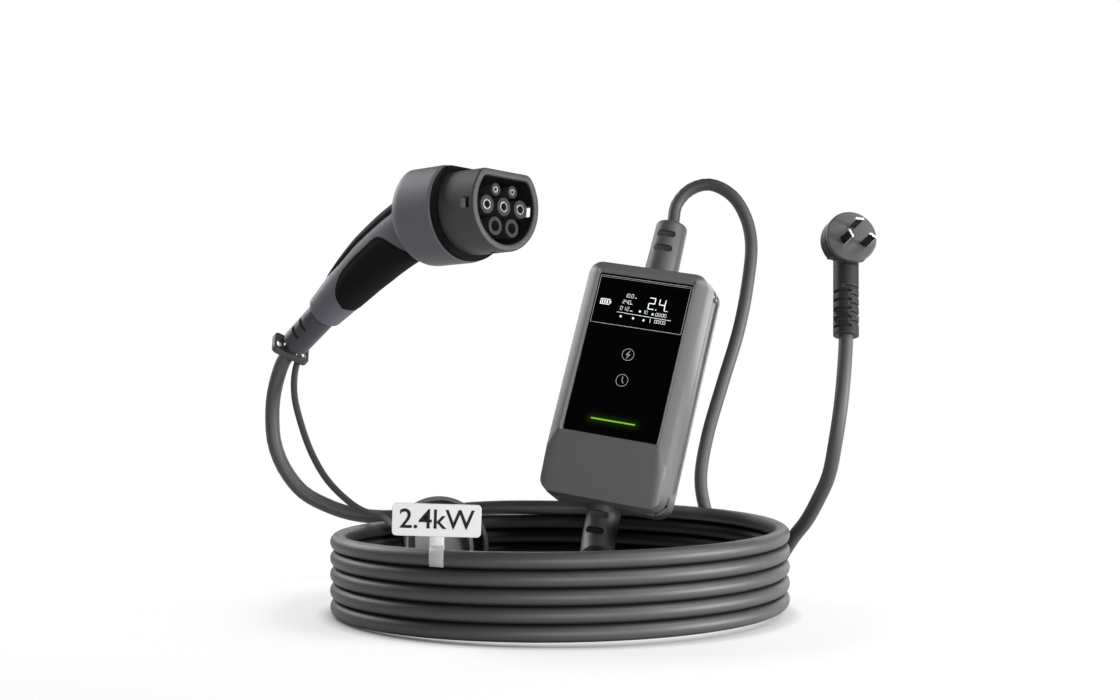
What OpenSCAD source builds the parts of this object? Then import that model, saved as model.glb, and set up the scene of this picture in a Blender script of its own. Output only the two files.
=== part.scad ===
// Portable EV charger: control box, coiled charging cable with a vehicle connector,
// and a mains lead with a flat-pin plug. Origin on the floor at the coil's axis, z up.

/* [Cables] */
// Diameter of the charging cable
cable_d = 12; // [11:0.5:13]
// Diameter of the mains lead
lead_d = 10.5; // [9:0.5:11]
// Turns of the coil
coil_turns = 5; // [4:1:6]
// Radius of the coil at the middle of its turns
coil_r = 166; // [164:1:168]

/* [Control box] */
// Width of the glass panel
glass_w = 81; // [76:0.5:84]
// Height of the glass panel
glass_h = 137; // [130:0.5:140]
// Thickness of the glass panel
glass_t = 1.6; // [1.2:0.1:2]
// Width of the case
case_w = 107; // [104:0.5:114]
// Height of the case above the middle of the glass
case_top = 80; // [79:0.5:86]
// Depth of the case below the middle of the glass
case_bottom = 121; // [119:0.5:126]
// Corner radius of the case
case_r = 12; // [10:0.5:14]
// Depth of the front shell behind the glass face
front_d = 22; // [20:0.5:24]
// Depth of the back shell
back_d = 30.5; // [29:0.5:34]
// Wall of both shells
wall = 2.8; // [2:0.1:3.2]
// Thickness of the seal between the shells
seal_t = 0.5; // [0.4:0.1:0.8]
// Length of a strain relief on the box
relief_l = 51; // [48:1:54]
// Diameter of a strain relief on the box
relief_d = 29; // [27:0.5:29]

/* [Connector] */
// Radius of the nozzle
nozzle_r = 35; // [33.5:0.25:35.5]
// Height of the nozzle's flat above its axis
nozzle_flat = 26.5; // [26:0.1:27.5]
// Wall of the nozzle
nozzle_wall = 5.4; // [4.6:0.1:5.6]
// Length of the nozzle in front of its seal
nozzle_l = 37; // [34:0.5:38]
// Spacing of the contacts along a row
contact_pitch = 17.5; // [17.3:0.1:17.7]
// Diameter of a power pin that enters
power_pin_d = 6; // [5.6:0.1:6.2]
// Diameter of a signal pin that enters
signal_pin_d = 3; // [2.8:0.1:3.2]
// Radius of the connector's head
head_r = 40.5; // [39.5:0.25:42]
// Thickness of the soft grip
grip_t = 2.2; // [1.6:0.1:2.6]

/* [Mains plug] */
// Diameter of the plug's face
plug_d = 39; // [38:0.5:42]
// Thickness of the plug's face
plug_face_t = 4; // [3:0.5:5]
// Diameter of the plug's neck
neck_d = 19; // [18:0.5:21]
// Length of the active and neutral pins
pin_l = 17; // [16:0.5:18]
// Length of the earth pin
earth_l = 20; // [19:0.5:21]

/* [Dust cap and tag] */
// Clearance of the dust cap round the nozzle
cap_gap = 0.8; // [0.5:0.1:1.2]
// Depth of the dust cap
cap_depth = 18; // [16:0.5:19]
// Width of the tag
tag_w = 60; // [50:1:64]
// Height of the tag
tag_h = 22; // [18:0.5:24]

/* [Hidden] */
$fn = 48;
fine = 72;
fit = 0.2;
skin = 0.01;
lip = 0.3;
parting = 0.06;

// Finishes
case_grey = "#58595b";
soft_black = "#1d1d1f";
blue_grey = "#5f606c";
cable_grey = "#48484a";

// Where the control box stands: it leans back on the coil's rear rim
box_pos = [56, 120, 191];
box_yaw = -17;
box_lean = -17.4;
box_roll = 8.9;
// Where the connector is held, at the middle of its nozzle's rim
gun_pos = [-39.5, -21, 303];
gun_turn = [-3.5, -2, -43];
// Where the plug's face is
plug_pos = [217, -20, 281];
plug_yaw = 12;
plug_lean = -16;
plug_roll = 6;
// Where the dust cap stands on its edge inside the coil
cap_pos = [-94, 78, 41.5];
cap_yaw = 15;
cap_lean = -15;

// Cord routes, hand placed in the photograph's view, millimetres
gun_route = [[-53.5, 168.6, 62.7], [-87, 170.8, 60.5], [-120, 172, 57], [-150, 171, 54.5], [-178, 169, 58],
    [-200, 167, 66], [-217, 165, 76], [-229, 163.5, 90], [-237, 162, 105], [-241.5, 160.5, 121],
    [-242.5, 159, 138], [-241.5, 156.5, 154], [-238.5, 153.5, 168], [-232, 148.5, 186], [-221.5, 140.5, 201]];
box_route = [[29.8, 98.9, 27.6], [29, 87, 19.5], [26, 69, 11.5], [17, 53.5, 7.5], [3, 42, 6], [-14, 36, 6],
    [-33, 36, 6], [-58, 41, 6], [-83, 46, 6], [-108, 50.7, 6], [-125.5, 50.8, 6], [-141.5, 45, 6],
    [-151, 37.3, 6]];
lead_route = [[97, 183.3, 305], [100, 186, 321], [111.5, 186, 334], [128, 181, 338], [146, 172, 328],
    [157, 164, 309], [161, 157, 286], [157, 149, 251], [149, 143, 213], [135, 138.5, 168],
    [122, 137, 123], [117, 138, 90], [120, 142, 68], [127, 147, 48], [136, 147, 30], [146, 138.5, 15.5],
    [154.5, 123, 7.5], [161, 106, 5.5], [166.5, 88.5, 7.5], [171, 71, 15.5], [172, 57, 30],
    [181, 35, 52], [187.5, 14, 66], [193, -7, 83], [199, -25, 104], [202, -36, 128], [205.5, -39.5, 155],
    [208.5, -36.5, 181], [211, -29.4, 206.2]];
strap_route = [[-219, 149.5, 190], [-221.5, 145, 177], [-220.5, 137, 158], [-213.5, 128, 134.5],
    [-203.5, 117, 112], [-190, 105, 92], [-174, 93, 77.5], [-161, 84, 69.5], [-150, 77.5, 66],
    [-143, 74, 64.9], [-137, 73, 61], [-131.5, 75, 55.5], [-127.3, 79.5, 49.5]];

// Vector helpers
function unit(v) = v / norm(v);
function along(p, i) = unit(p[min(i + 1, len(p) - 1)] - p[max(i - 1, 0)]);
function squared(n, t) = unit(n - (n * t) * t);
function side_vectors(p, n0) =
    [for (i = 0, n = squared(n0, along(p, 0)); i < len(p); i = i + 1,
        n = squared(n, along(p, min(i, len(p) - 1)))) n];

// Polyhedron over rings of equal length, closed by its first and last ring; an arched ring runs out and back
module skin_over(rings, arched = false) {
    m = len(rings[0]);
    n = len(rings);
    points = [for (r = rings) for (p = r) p];
    sides = [for (i = [0:n - 2]) for (j = [0:m - 1])
        let (a = i * m + j, b = i * m + (j + 1) % m) each [[a, b, b + m], [a, b + m, a + m]]];
    from = (n - 1) * m;
    across = [for (j = [0:m / 2 - 2]) each [[j, j + 1, m - 1 - j], [j + 1, m - 2 - j, m - 1 - j]]];
    first = arched ? [for (f = across) [f[2], f[1], f[0]]] : [[for (j = [m - 1:-1:0]) j]];
    last = arched ? [for (f = across) [for (v = f) from + v]] : [[for (j = [0:m - 1]) from + j]];
    polyhedron(points, concat(first, sides, last), convexity = 8);
}

// Cord along a route, with an oval section of two radii
module swept_cord(route, r_side, r_across, sides, n0) {
    normals = side_vectors(route, n0);
    skin_over([for (i = [0:len(route) - 1])
        let (t = along(route, i), u = normals[i], w = cross(t, u))
            [for (j = [0:sides - 1])
                let (a = -360 * j / sides) route[i] + r_side * cos(a) * u + r_across * sin(a) * w]]);
}

// Plates and outlines
module slab(y0, y1) {
    translate([0, y1, 0]) rotate([90, 0, 0]) linear_extrude(y1 - y0) children();
}
module along_nozzle(x0, x1) {
    translate([x0, 0, 0]) rotate([90, 0, 90]) linear_extrude(x1 - x0) children();
}
module rounded_rect(w, top, bottom, r) {
    translate([0, (top + bottom) / 2]) offset(r, $fn = 32)
        square([w - 2 * r, top - bottom - 2 * r], center = true);
}
module stadium(length, width) {
    for (x = [-1, 1]) translate([x * (length - width) / 2, 0]) circle(d = width);
    square([length - width, width], center = true);
}
module d_outline(r, flat, corner) {
    offset(corner, $fn = 32) offset(delta = -corner) intersection() {
        circle(r, $fn = fine);
        translate([-r, -r]) square([2 * r, r + flat]);
    }
}

// Control box
seam_y = front_d;
back_y = front_d + seal_t;
end_y = back_y + back_d;
rim_y = -2;
shoulder_y = 2.5;
chin_y = 8;
bevel = 2.9;
rim_w = glass_w + 2 * bevel;
rim_top = glass_h / 2 + bevel + 1;
rim_bottom = -glass_h / 2 - 1.8;
shoulder_bottom = rim_bottom - 23;
ledge = 2.6;
ledge_back = 5;
corner_cut = 16;
ear_y0 = back_y + 7.5;
ear_y1 = end_y - 7;
bar_t = 2.4;
relief_y = 35;
spigot_r = 11;
board_y = 16;
board_t = 1.6;
rail_x = glass_w / 2;
screw_x = case_w / 2 - 9.5;
screw_top = case_top - 18;
screw_bottom = -case_bottom + 18;
screw_z = [screw_top, screw_bottom];
screw_r = 1.5;
screw_head_r = 3;
screw_head_t = 2.2;
boss_r = 4.5;
board_bottom = 84;
relay_w = 20;
relay_l = 30;
relay_h = 17;
relay_pitch = 24;
relay_z = 30;
sensor_r = 12;
sensor_bore = 6;
sensor_h = 14;
sensor_x = 25;
sensor_z = 28;
supply_w = 44;
supply_l = 34;
supply_h = 20;
supply_x = 16;
supply_z = 14;
block_w = 56;
block_l = 16;
block_h = 14;
block_z = 62;
block_pitch = 11;
block_hole_r = 3;
block_hole_d = 8;
lamp_w = 38;
lamp_h = 1.5;
lamp_z = -55.7;
window_top = 66.7;
window_bottom = 25;

module at_box() {
    translate(box_pos) rotate([0, 0, box_yaw]) rotate([box_lean, 0, 0]) rotate([0, box_roll, 0]) children();
}
module case_outline(inset = 0) {
    rounded_rect(case_w - 2 * inset, case_top - inset, inset - case_bottom, case_r - inset / 2);
}
// The case outline with its four corners cut off
module cut_outline(inset = 0) {
    c = corner_cut + inset * (2 - sqrt(2));
    x = case_w / 2 - inset;
    t = case_top - inset;
    b = inset - case_bottom;
    intersection() {
        case_outline(inset);
        polygon([[-x + c, b], [x - c, b], [x, b + c], [x, t - c],
            [x - c, t], [-x + c, t], [-x, t - c], [-x, b + c]]);
    }
}
module screw_places() {
    for (x = [-screw_x, screw_x], z = screw_z) translate([x, 0, z]) rotate([-90, 0, 0]) children();
}
// The slot behind each corner bar, where a wrist strap is threaded
module strap_slots() {
    slot_in = corner_cut / sqrt(2);
    slot_out = case_r * (sqrt(2) - 1) + bar_t;
    for (sx = [-1, 1], sz = [-1, 1])
        translate([sx * case_w / 2, sz > 0 ? case_top : -case_bottom])
            rotate(atan2(-sz, -sx))
                translate([slot_out, -case_r / 2]) square([slot_in - slot_out, case_r]);
}
// A screw boss of the front shell, from depth y to the seam
module front_boss(x, y, z) {
    translate([x, y, z]) rotate([-90, 0, 0]) cylinder(r = boss_r, h = seam_y - y);
}
module front_shell() {
    color(case_grey) at_box() difference() {
        union() {
            difference() {
                hull() {
                    slab(seam_y - lip, seam_y) case_outline();
                    slab(chin_y, chin_y + lip)
                        rounded_rect(case_w - 2.5, case_top - 0.7, 1 - case_bottom, case_r - 1);
                    slab(shoulder_y, shoulder_y + lip)
                        rounded_rect(case_w - 4, case_top - 1, shoulder_bottom, case_r - 1);
                    slab(rim_y, rim_y + lip) rounded_rect(rim_w, rim_top, rim_bottom, bevel);
                }
                hull() {
                    slab(seam_y, seam_y + lip) cut_outline(wall);
                    slab(ledge_back, ledge_back + lip)
                        rounded_rect(rim_w + wall, rim_top, rim_bottom - 2 * wall, 4);
                }
            }
            for (s = [-1, 1])
                translate([s * (rail_x + 1) - 1.5, ledge_back - 1, -60])
                    cube([3, board_y - ledge_back + 1, 110]);
            for (x = [-screw_x, screw_x]) {
                front_boss(x, ledge_back - 1, screw_top);
                front_boss(x, chin_y + 1, screw_bottom);
            }
        }
        slab(rim_y / 2, glass_t) rounded_rect(glass_w + 2 * fit, glass_h / 2 + fit, -glass_h / 2 - fit, 1.5);
        slab(glass_t - lip, ledge_back + 1)
            rounded_rect(glass_w - 2 * ledge, glass_h / 2 - ledge, ledge - glass_h / 2, 1.5);
        hull() {
            slab(-fit - lip, -fit)
                rounded_rect(glass_w + 4 * fit, glass_h / 2 + 2 * fit, -glass_h / 2 - 2 * fit, 1.6);
            slab(rim_y - lip, rim_y) rounded_rect(rim_w - 0.8, rim_top - 0.4, rim_bottom + 0.4, 2.4);
        }
        screw_places() translate([0, 0, seam_y - 12]) cylinder(r = screw_r + 0.05, h = 13);
    }
}
module back_shell() {
    color(case_grey) at_box() difference() {
        union() {
            slab(back_y, ear_y0) cut_outline();
            slab(ear_y0, ear_y1) difference() {
                case_outline();
                strap_slots();
            }
            hull() {
                slab(ear_y1, ear_y1 + lip) cut_outline();
                slab(end_y - lip, end_y) cut_outline(4);
            }
        }
        difference() {
            slab(back_y - skin, end_y - wall) cut_outline(wall);
            screw_places() translate([0, 0, back_y]) cylinder(r = boss_r, h = back_d);
        }
        screw_places() translate([0, 0, back_y - skin]) cylinder(r = screw_r + fit, h = back_d + 1);
        screw_places() translate([0, 0, end_y - wall]) cylinder(r = screw_head_r + fit, h = wall + 1);
        for (z = [case_top, -case_bottom])
            translate([0, relief_y, z - 10]) cylinder(r = spigot_r + fit, h = 20);
        for (s = [-1, 1])
            translate([s * (case_w / 2 + 1.4), 0, 0]) rotate([90, 0, s * 90])
                translate([0, -13.5, -3]) linear_extrude(3)
                    translate([s * (relief_y + 1), 0]) rotate(90) stadium(172, 11);
    }
}
module case_seal() {
    color(soft_black) at_box() slab(seam_y, back_y) difference() {
        cut_outline(0.8);
        cut_outline(wall - 0.4);
    }
}
module display_glass() {
    color("#0a0a0c") at_box() difference() {
        slab(0, glass_t) rounded_rect(glass_w, glass_h / 2, -glass_h / 2, 1.4);
        slab(-1, glass_t + 1) translate([0, lamp_z]) square([lamp_w + fit, lamp_h + fit], center = true);
    }
}
module display_module() {
    color("#22252a") at_box() slab(glass_t, ledge_back - 0.5)
        rounded_rect(glass_w - 2 * ledge - 1, window_top - 1, window_bottom, 1);
}
module light_guide() {
    color("#a6e22e") at_box() union() {
        slab(0, glass_t) translate([0, lamp_z]) square([lamp_w, lamp_h], center = true);
        slab(glass_t, board_y) translate([0, lamp_z]) square([lamp_w + 4, lamp_h + 4], center = true);
    }
}
module control_board() {
    color("#1f5a36") at_box() slab(board_y, board_y + board_t)
        rounded_rect(glass_w + 5, screw_top - boss_r - 2, -board_bottom, 2);
}
board_back = board_y + board_t;
module on_board(x, z) {
    at_box() translate([x, board_back, z]) rotate([-90, 0, 0]) children();
}
module relay_pair() {
    color("#2b4f8e") for (x = [-relay_pitch, 0])
        on_board(x, relay_z) linear_extrude(relay_h) square([relay_w, relay_l], center = true);
}
module current_sensor() {
    color("#303236") on_board(sensor_x, sensor_z) difference() {
        cylinder(r = sensor_r, h = sensor_h, $fn = fine);
        translate([0, 0, -1]) cylinder(r = sensor_bore, h = sensor_h + 2);
    }
}
module supply_module() {
    color("#3a3a3c") on_board(-supply_x, -supply_z)
        linear_extrude(supply_h) square([supply_w, supply_l], center = true);
}
module terminal_block() {
    color("#3d7a4a") on_board(0, -block_z) difference() {
        linear_extrude(block_h) square([block_w, block_l], center = true);
        for (i = [-2:2]) translate([i * block_pitch, 0, block_h - block_hole_d])
            cylinder(r = block_hole_r, h = block_hole_d + 1);
    }
}
module case_screws() {
    color("silver") at_box() screw_places() {
        translate([0, 0, end_y - wall]) cylinder(r = screw_head_r, h = screw_head_t);
        translate([0, 0, seam_y - 10]) cylinder(r = screw_r, h = end_y - wall - seam_y + 10);
    }
}
// Slots that make a strain relief bend, cut from its front
module relief_slots(places, r) {
    for (z = places) translate([0, -r + 6, z]) rotate([90, 0, 0]) linear_extrude(r) stadium(r + 2, 5.6);
}
module relief_root() {
    translate([0, 0, -wall - 4]) cylinder(r = spigot_r, h = wall + 4 + fit);
    translate([0, 0, -wall - 4 + fit]) cylinder(r = spigot_r + 2, h = 4 - 2 * fit);
}
module input_relief() {
    r = relief_d / 2;
    color(cable_grey) at_box() translate([0, relief_y, case_top]) difference() {
        union() {
            relief_root();
            translate([0, 0, fit]) rotate_extrude($fn = fine) polygon(concat([[0, 0], [r, 0]],
                [for (a = [0:15:90]) [r - 1 - 4 + 4 * cos(a), relief_l - fit - 4 + 4 * sin(a)]],
                [[0, relief_l - fit]]));
        }
        relief_slots([relief_l - 26, relief_l - 13], r);
    }
}
bend_r = 55;
bend_a = 42;
straight = 7;
bend_turn = 28;
module output_relief() {
    r = relief_d / 2 - 0.5;
    color(cable_grey) at_box() translate([0, relief_y, -case_bottom]) rotate(bend_turn) difference() {
        union() {
            mirror([0, 0, 1]) relief_root();
            translate([0, 0, -straight]) cylinder(r = r, h = straight - fit, $fn = fine);
            translate([0, -bend_r, -straight]) rotate([-90, 0, 90])
                rotate_extrude(angle = bend_a, $fn = fine) translate([bend_r, 0]) circle(r, $fn = fine);
        }
        rotate(-bend_turn) relief_slots([-8, -22], r);
    }
}

// Connector
contact_row = contact_pitch * sqrt(3) / 2;
signal_row = 12.1;
power_places = [for (i = [-1:1]) [i * contact_pitch, 0]];
spare_places = [for (i = [-0.5, 0.5]) [i * contact_pitch, -contact_row]];
signal_places = [for (i = [-0.5, 0.5]) [i * contact_pitch, signal_row]];
nozzle_y = 1.3;
flat_corner = 8;
cavity_r = nozzle_r - nozzle_wall;
cavity_flat = nozzle_flat - nozzle_wall;
seal_len = 5;
head_front = -nozzle_l - seal_len;
spigot_l = 10;
spigot_in = 2.3;
tower_front = -2.8;
carrier_t = 4;
power_tower_r = 7;
signal_tower_r = 4.75;
sleeve_t = 0.8;
power_sleeve_r = power_pin_d / 2 + sleeve_t;
signal_sleeve_r = signal_pin_d / 2 + sleeve_t;
sleeve_gap = 0.05;
sleeve_front = tower_front - 0.3;
sleeve_back = -nozzle_l + 1;
head_l = 50;
head_round = 15;
head_flat = nozzle_flat + 6.5;

module at_gun() {
    translate(gun_pos) rotate(gun_turn) children();
}
module d_at(r, flat, corner = flat_corner) {
    translate([0, nozzle_y]) d_outline(r, flat - nozzle_y, corner);
}
module nozzle() {
    color(soft_black) at_gun() difference() {
        union() {
            along_nozzle(-nozzle_l, 0) d_at(nozzle_r, nozzle_flat);
            along_nozzle(head_front - spigot_l, -nozzle_l) d_at(nozzle_r - spigot_in, nozzle_flat - spigot_in);
        }
        along_nozzle(-nozzle_l, 1) d_at(cavity_r, cavity_flat, flat_corner - 3);
        translate([-13.5, -nozzle_r - 1, -4]) cube([9, 2 * nozzle_r + 2, 8]);
        translate([-18, -3.5, -nozzle_r - 1]) cube([9, 7, 4]);
    }
}
module contact_carrier() {
    color("#2a2a2c") at_gun() difference() {
        union() {
            along_nozzle(-nozzle_l, -nozzle_l + carrier_t)
                d_at(cavity_r - fit, cavity_flat - fit, flat_corner - 3);
            along_nozzle(-nozzle_l + carrier_t - skin, tower_front) {
                for (p = concat(power_places, spare_places)) translate(p) circle(power_tower_r);
                for (p = signal_places) translate(p) circle(signal_tower_r);
            }
        }
        along_nozzle(sleeve_back, 0) {
            for (p = concat(power_places, spare_places)) translate(p) circle(power_sleeve_r + sleeve_gap);
            for (p = signal_places) translate(p) circle(signal_sleeve_r + sleeve_gap);
        }
    }
}
module sleeve(place, pin_d) {
    along_nozzle(sleeve_back, sleeve_front) translate(place) difference() {
        circle(pin_d / 2 + sleeve_t);
        circle(pin_d / 2);
    }
}
module power_contacts() {
    color("gold") at_gun() for (p = power_places) sleeve(p, power_pin_d);
}
module signal_contacts() {
    color("gold") at_gun() for (p = signal_places) sleeve(p, signal_pin_d);
}
module nozzle_seal() {
    color("#161617") at_gun() along_nozzle(head_front, -nozzle_l) difference() {
        d_at(head_r - 1, head_flat - 0.8, flat_corner + 2);
        d_at(nozzle_r - spigot_in + 0.1, nozzle_flat - spigot_in + 0.1);
    }
}

// The handle's spine: an arc that leaves the head, then a straight run to the cable
spine_x = -80;
spine_a0 = 17;
spine_a1 = 33.5;
spine_r = 330;
arc_l = spine_r * (spine_a1 - spine_a0) * PI / 180;
handle_l = 146.5;
function spine_angle(s) = s > arc_l ? spine_a1 : s < 0 ? spine_a0 : spine_a0 + s / spine_r * 180 / PI;
function arc_point(a) = [spine_x - spine_r * (sin(a) - sin(spine_a0)), 0, -spine_r * (cos(spine_a0) - cos(a))];
function spine(s) = arc_point(spine_angle(s))
    + (s > arc_l ? s - arc_l : min(s, 0)) * [-cos(spine_angle(s)), 0, -sin(spine_angle(s))];
function spine_up(s) = [-sin(spine_angle(s)), 0, cos(spine_angle(s))];
// Half height and half width of the handle along its spine
function half_h(s) = lookup(s, [[-14, 25], [40, 23.5], [75, 21.8], [105, 18.8], [130, 16.2], [146.5, 14.6]]);
function half_w(s) = lookup(s, [[-14, 22], [40, 20], [75, 19], [105, 17.4], [130, 15.8], [146.5, 14.6]]);
oval = 0.88;
function bulge(v) = sign(v) * pow(abs(v), oval);
function handle_point(s, a, out) = spine(s) + (half_w(s) + out) * bulge(cos(a)) * [0, 1, 0]
    + (half_h(s) + out) * bulge(sin(a)) * spine_up(s);
handle_sides = 24;
module handle_loft() {
    skin_over([for (s = [-14, 10, 34, 55, 77, 101, 121.5, 134, 142, handle_l])
        [for (j = [0:handle_sides - 1]) handle_point(s, 360 * (j + 0.5) / handle_sides, 0)]]);
}
// Upper edge of the grip, as an angle round the section
function grip_edge(s) = lookup(s, [[24, -72], [30, -40], [38, -12], [46, 0], [62, 1], [96, 0], [108, -12],
    [115, -34], [119, -66]]);
grip_stops = [24, 30, 38, 46, 62, 72, 96, 108, 115, 119];
grip_steps = 9;
module grip_loft(proud, deep, spread) {
    skin_over([for (s = grip_stops)
        let (e = grip_edge(s) + spread, k = s + (s < 60 ? -spread : spread) * 0.15,
            step = (180 + 2 * e) / grip_steps)
            concat([for (j = [0:grip_steps]) handle_point(k, -180 - e + j * step, proud)],
                [for (j = [grip_steps:-1:0]) handle_point(k, -180 - e + j * step, -deep)])], true);
}
// Lower edge of the strip, which lies over the handle's back like a saddle
function strip_edge(s) = lookup(s, [[22, 30], [70, 30], [98, 33], [114, 46], [124, 66]]);
function strip_rise(s) = lookup(s, [[22, 1.4], [98, 1.4], [124, 0.5]]);
strip_stops = [22, 44, 70, 96, 114, 124];
strip_steps = 8;
strip_t = 2.2;
module strip_loft(more, deep, spread) {
    skin_over([for (s = strip_stops)
        let (e = strip_edge(s) - spread, k = s + (s < 60 ? -spread : spread) * 0.15,
            step = (180 - 2 * e) / strip_steps)
            concat([for (j = [0:strip_steps]) handle_point(k, e + j * step, strip_rise(s) + more)],
                [for (j = [strip_steps:-1:0]) handle_point(k, e + j * step, -deep)])], true);
}
module along_handle(s) {
    translate(spine(s)) rotate([0, -90 - spine_angle(s), 0]) children();
}
relief_socket = 10;
gun_relief_r = 12.2;
gun_relief_l = 44;
head_back = [for (a = [0:10:90])
    [head_r - head_round + head_round * cos(a), head_l - head_round + head_round * sin(a)]];
module gun_body() {
    difference() {
        union() {
            intersection() {
                translate([head_front, 0, nozzle_y]) rotate([0, -90, 0]) rotate(45) rotate_extrude($fn = fine)
                    polygon(concat([[0, 0], [head_r, 0]], head_back, [[0, head_l]]));
                translate([-200, -100, -100]) cube([200, 200, 100 + head_flat]);
            }
            handle_loft();
        }
        along_nozzle(head_front - spigot_l - fit, head_front + 1)
            d_at(nozzle_r - spigot_in + fit, nozzle_flat - spigot_in + fit);
        grip_loft(6, grip_t + 2 * fit, 1.4);
        strip_loft(6, strip_t + 2 * fit, 1.4);
        along_handle(handle_l) rotate(45) translate([0, 0, -relief_socket - fit])
            cylinder(r = gun_relief_r - 3 + fit, h = relief_socket + 3);
    }
}
module gun_half() {
    difference() {
        gun_body();
        translate([-300, parting / 2 - 100, -200]) cube([310, 100, 300]);
    }
}
module gun_shell_left() {
    color(blue_grey) at_gun() gun_half();
}
module gun_shell_right() {
    color(blue_grey) at_gun() mirror([0, 1, 0]) gun_half();
}
module grip() {
    color(soft_black) at_gun() grip_loft(0.4, grip_t, 0);
}
module top_strip() {
    color("#2c2c2e") at_gun() strip_loft(0, strip_t, 0);
}
module gun_relief() {
    r = gun_relief_r;
    color(blue_grey) at_gun() along_handle(handle_l) difference() {
        rotate_extrude($fn = fine) polygon(concat(
            [[0, -relief_socket], [r - 3, -relief_socket], [r - 3, fit], [r, fit]],
            [for (a = [0:15:90]) [r - 2.6 + 2 * cos(a), gun_relief_l - 2 + 2 * sin(a)]],
            [[0, gun_relief_l]]));
        for (z = [18, 29], s = [-1, 1]) translate([0, s * (r - 4), z]) rotate([-s * 90, 0, 0])
            linear_extrude(r) stadium(r + 1, 3.4);
    }
}
ring_t = 5;
module tether_ring() {
    color("#3a3a3c") at_gun() along_handle(handle_l + gun_relief_l + 5) rotate(25)
        linear_extrude(ring_t) difference() {
        offset(4, $fn = 32) square([12, 25], center = true);
        circle(cable_d / 2 + 1.6);
        for (s = [-1, 1]) translate([0, s * 12]) offset(1.5, $fn = 16) square([7, 1.4], center = true);
    }
}
module tether_strap() {
    color(cable_grey) swept_cord(strap_route, 2.75, 1.3, 8, [1, 0, 0]);
}

// Dust cap, a cup with the nozzle's outline
cap_in = nozzle_r + cap_gap;
cap_wall = 2.2;
cap_flat = nozzle_flat + cap_gap;
module at_cap() {
    translate(cap_pos) rotate([0, 0, cap_yaw]) rotate([cap_lean, 0, 0]) rotate([0, -90, 0]) children();
}
module dust_cap() {
    color("#333335") at_cap() union() {
        slab(0, cap_depth) difference() {
            d_at(cap_in + cap_wall, cap_flat + cap_wall);
            d_at(cap_in, cap_flat);
        }
        slab(cap_depth - cap_wall, cap_depth) d_at(cap_in + cap_wall, cap_flat + cap_wall);
        slab(0, 2) difference() {
            d_at(cap_in + cap_wall + 1, cap_flat + cap_wall + 1);
            d_at(cap_in, cap_flat);
        }
        slab(8, cap_depth - cap_wall) difference() {
            d_at(cavity_r - 1, cavity_flat - 1);
            d_at(cavity_r - 4, cavity_flat - 4);
        }
    }
}

// Mains plug
module at_plug() {
    translate(plug_pos) rotate([0, 0, plug_yaw]) rotate([plug_lean, 0, 0]) rotate([0, plug_roll, 0]) children();
}
pin_turn = 60;
body_t = 14;
groove_t = 2;
neck_y = plug_face_t + groove_t + body_t / 2;
neck_l = 74;
line_pin = [6.86, 3.96];
earth_z = -10.31;
blade_w = 6.35;
blade_t = 1.6;
pin_root = 8;
module blade(x, z, turn, length, room) {
    translate([x, 0, z]) rotate([0, turn, 0]) translate([-blade_t / 2 - room, -length, -blade_w / 2 - room])
        cube([blade_t + 2 * room, length + pin_root + room, blade_w + 2 * room]);
}
module line_blades(room) {
    rotate([0, -pin_turn, 0]) for (s = [-1, 1]) blade(s * line_pin[0], line_pin[1], -s * 30, pin_l, room);
}
module earth_blade(room) {
    rotate([0, -pin_turn, 0]) blade(0, earth_z, 0, earth_l, room);
}
module plug_face() {
    color("#4a4a4c") at_plug() difference() {
        rotate([-90, 0, 0]) rotate_extrude($fn = fine)
            polygon([[0, 0], [plug_d / 2 - 0.6, 0], [plug_d / 2, 0.6],
            [plug_d / 2, plug_face_t], [plug_d / 2 - 1.5, plug_face_t],
                [plug_d / 2 - 1.5, plug_face_t + groove_t],
            [0, plug_face_t + groove_t]]);
        line_blades(0.05);
        earth_blade(0.05);
    }
}
module plug_body() {
    r = plug_d / 2;
    y0 = plug_face_t + groove_t;
    color(cable_grey) at_plug() difference() {
        union() {
            translate([0, y0, 0]) rotate([-90, 0, 0]) rotate_extrude($fn = fine)
                polygon(concat([[0, 0], [r - 0.5, 0]],
                    [for (a = [0:15:90]) [r - 6 + 6 * cos(a), body_t - 6 + 6 * sin(a)]], [[0, body_t]]));
            hull() {
                translate([0, neck_y, -r * 0.7]) rotate([0, 90, 0])
                    cylinder(d = body_t - 1, h = neck_d + 7, center = true, $fn = 32);
                translate([0, neck_y, -r - 12]) cylinder(d = neck_d - 0.5, h = 1, $fn = 32);
            }
            translate([0, neck_y, -neck_l]) cylinder(d = neck_d, h = neck_l - r);
        }
        slab(-1, y0) circle(d = 2 * plug_d);
        line_blades(0.05);
        earth_blade(0.05);
        for (i = [0:4]) {
            neck_slot(165, i * 6.8);
            neck_slot(-95, i * 6.8 + 3.4);
        }
    }
}
// One of the slots that make the neck bend, from its front round one side
module neck_slot(start, up) {
    translate([0, neck_y, -neck_l + 5 + up]) rotate(start) rotate_extrude(angle = 110, $fn = fine)
        translate([neck_d / 2 - 2.2, 0]) square([4, 1.7]);
}
module line_pins() {
    color("silver") at_plug() line_blades(0);
}
module earth_pin() {
    color("silver") at_plug() earth_blade(0);
}

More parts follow.
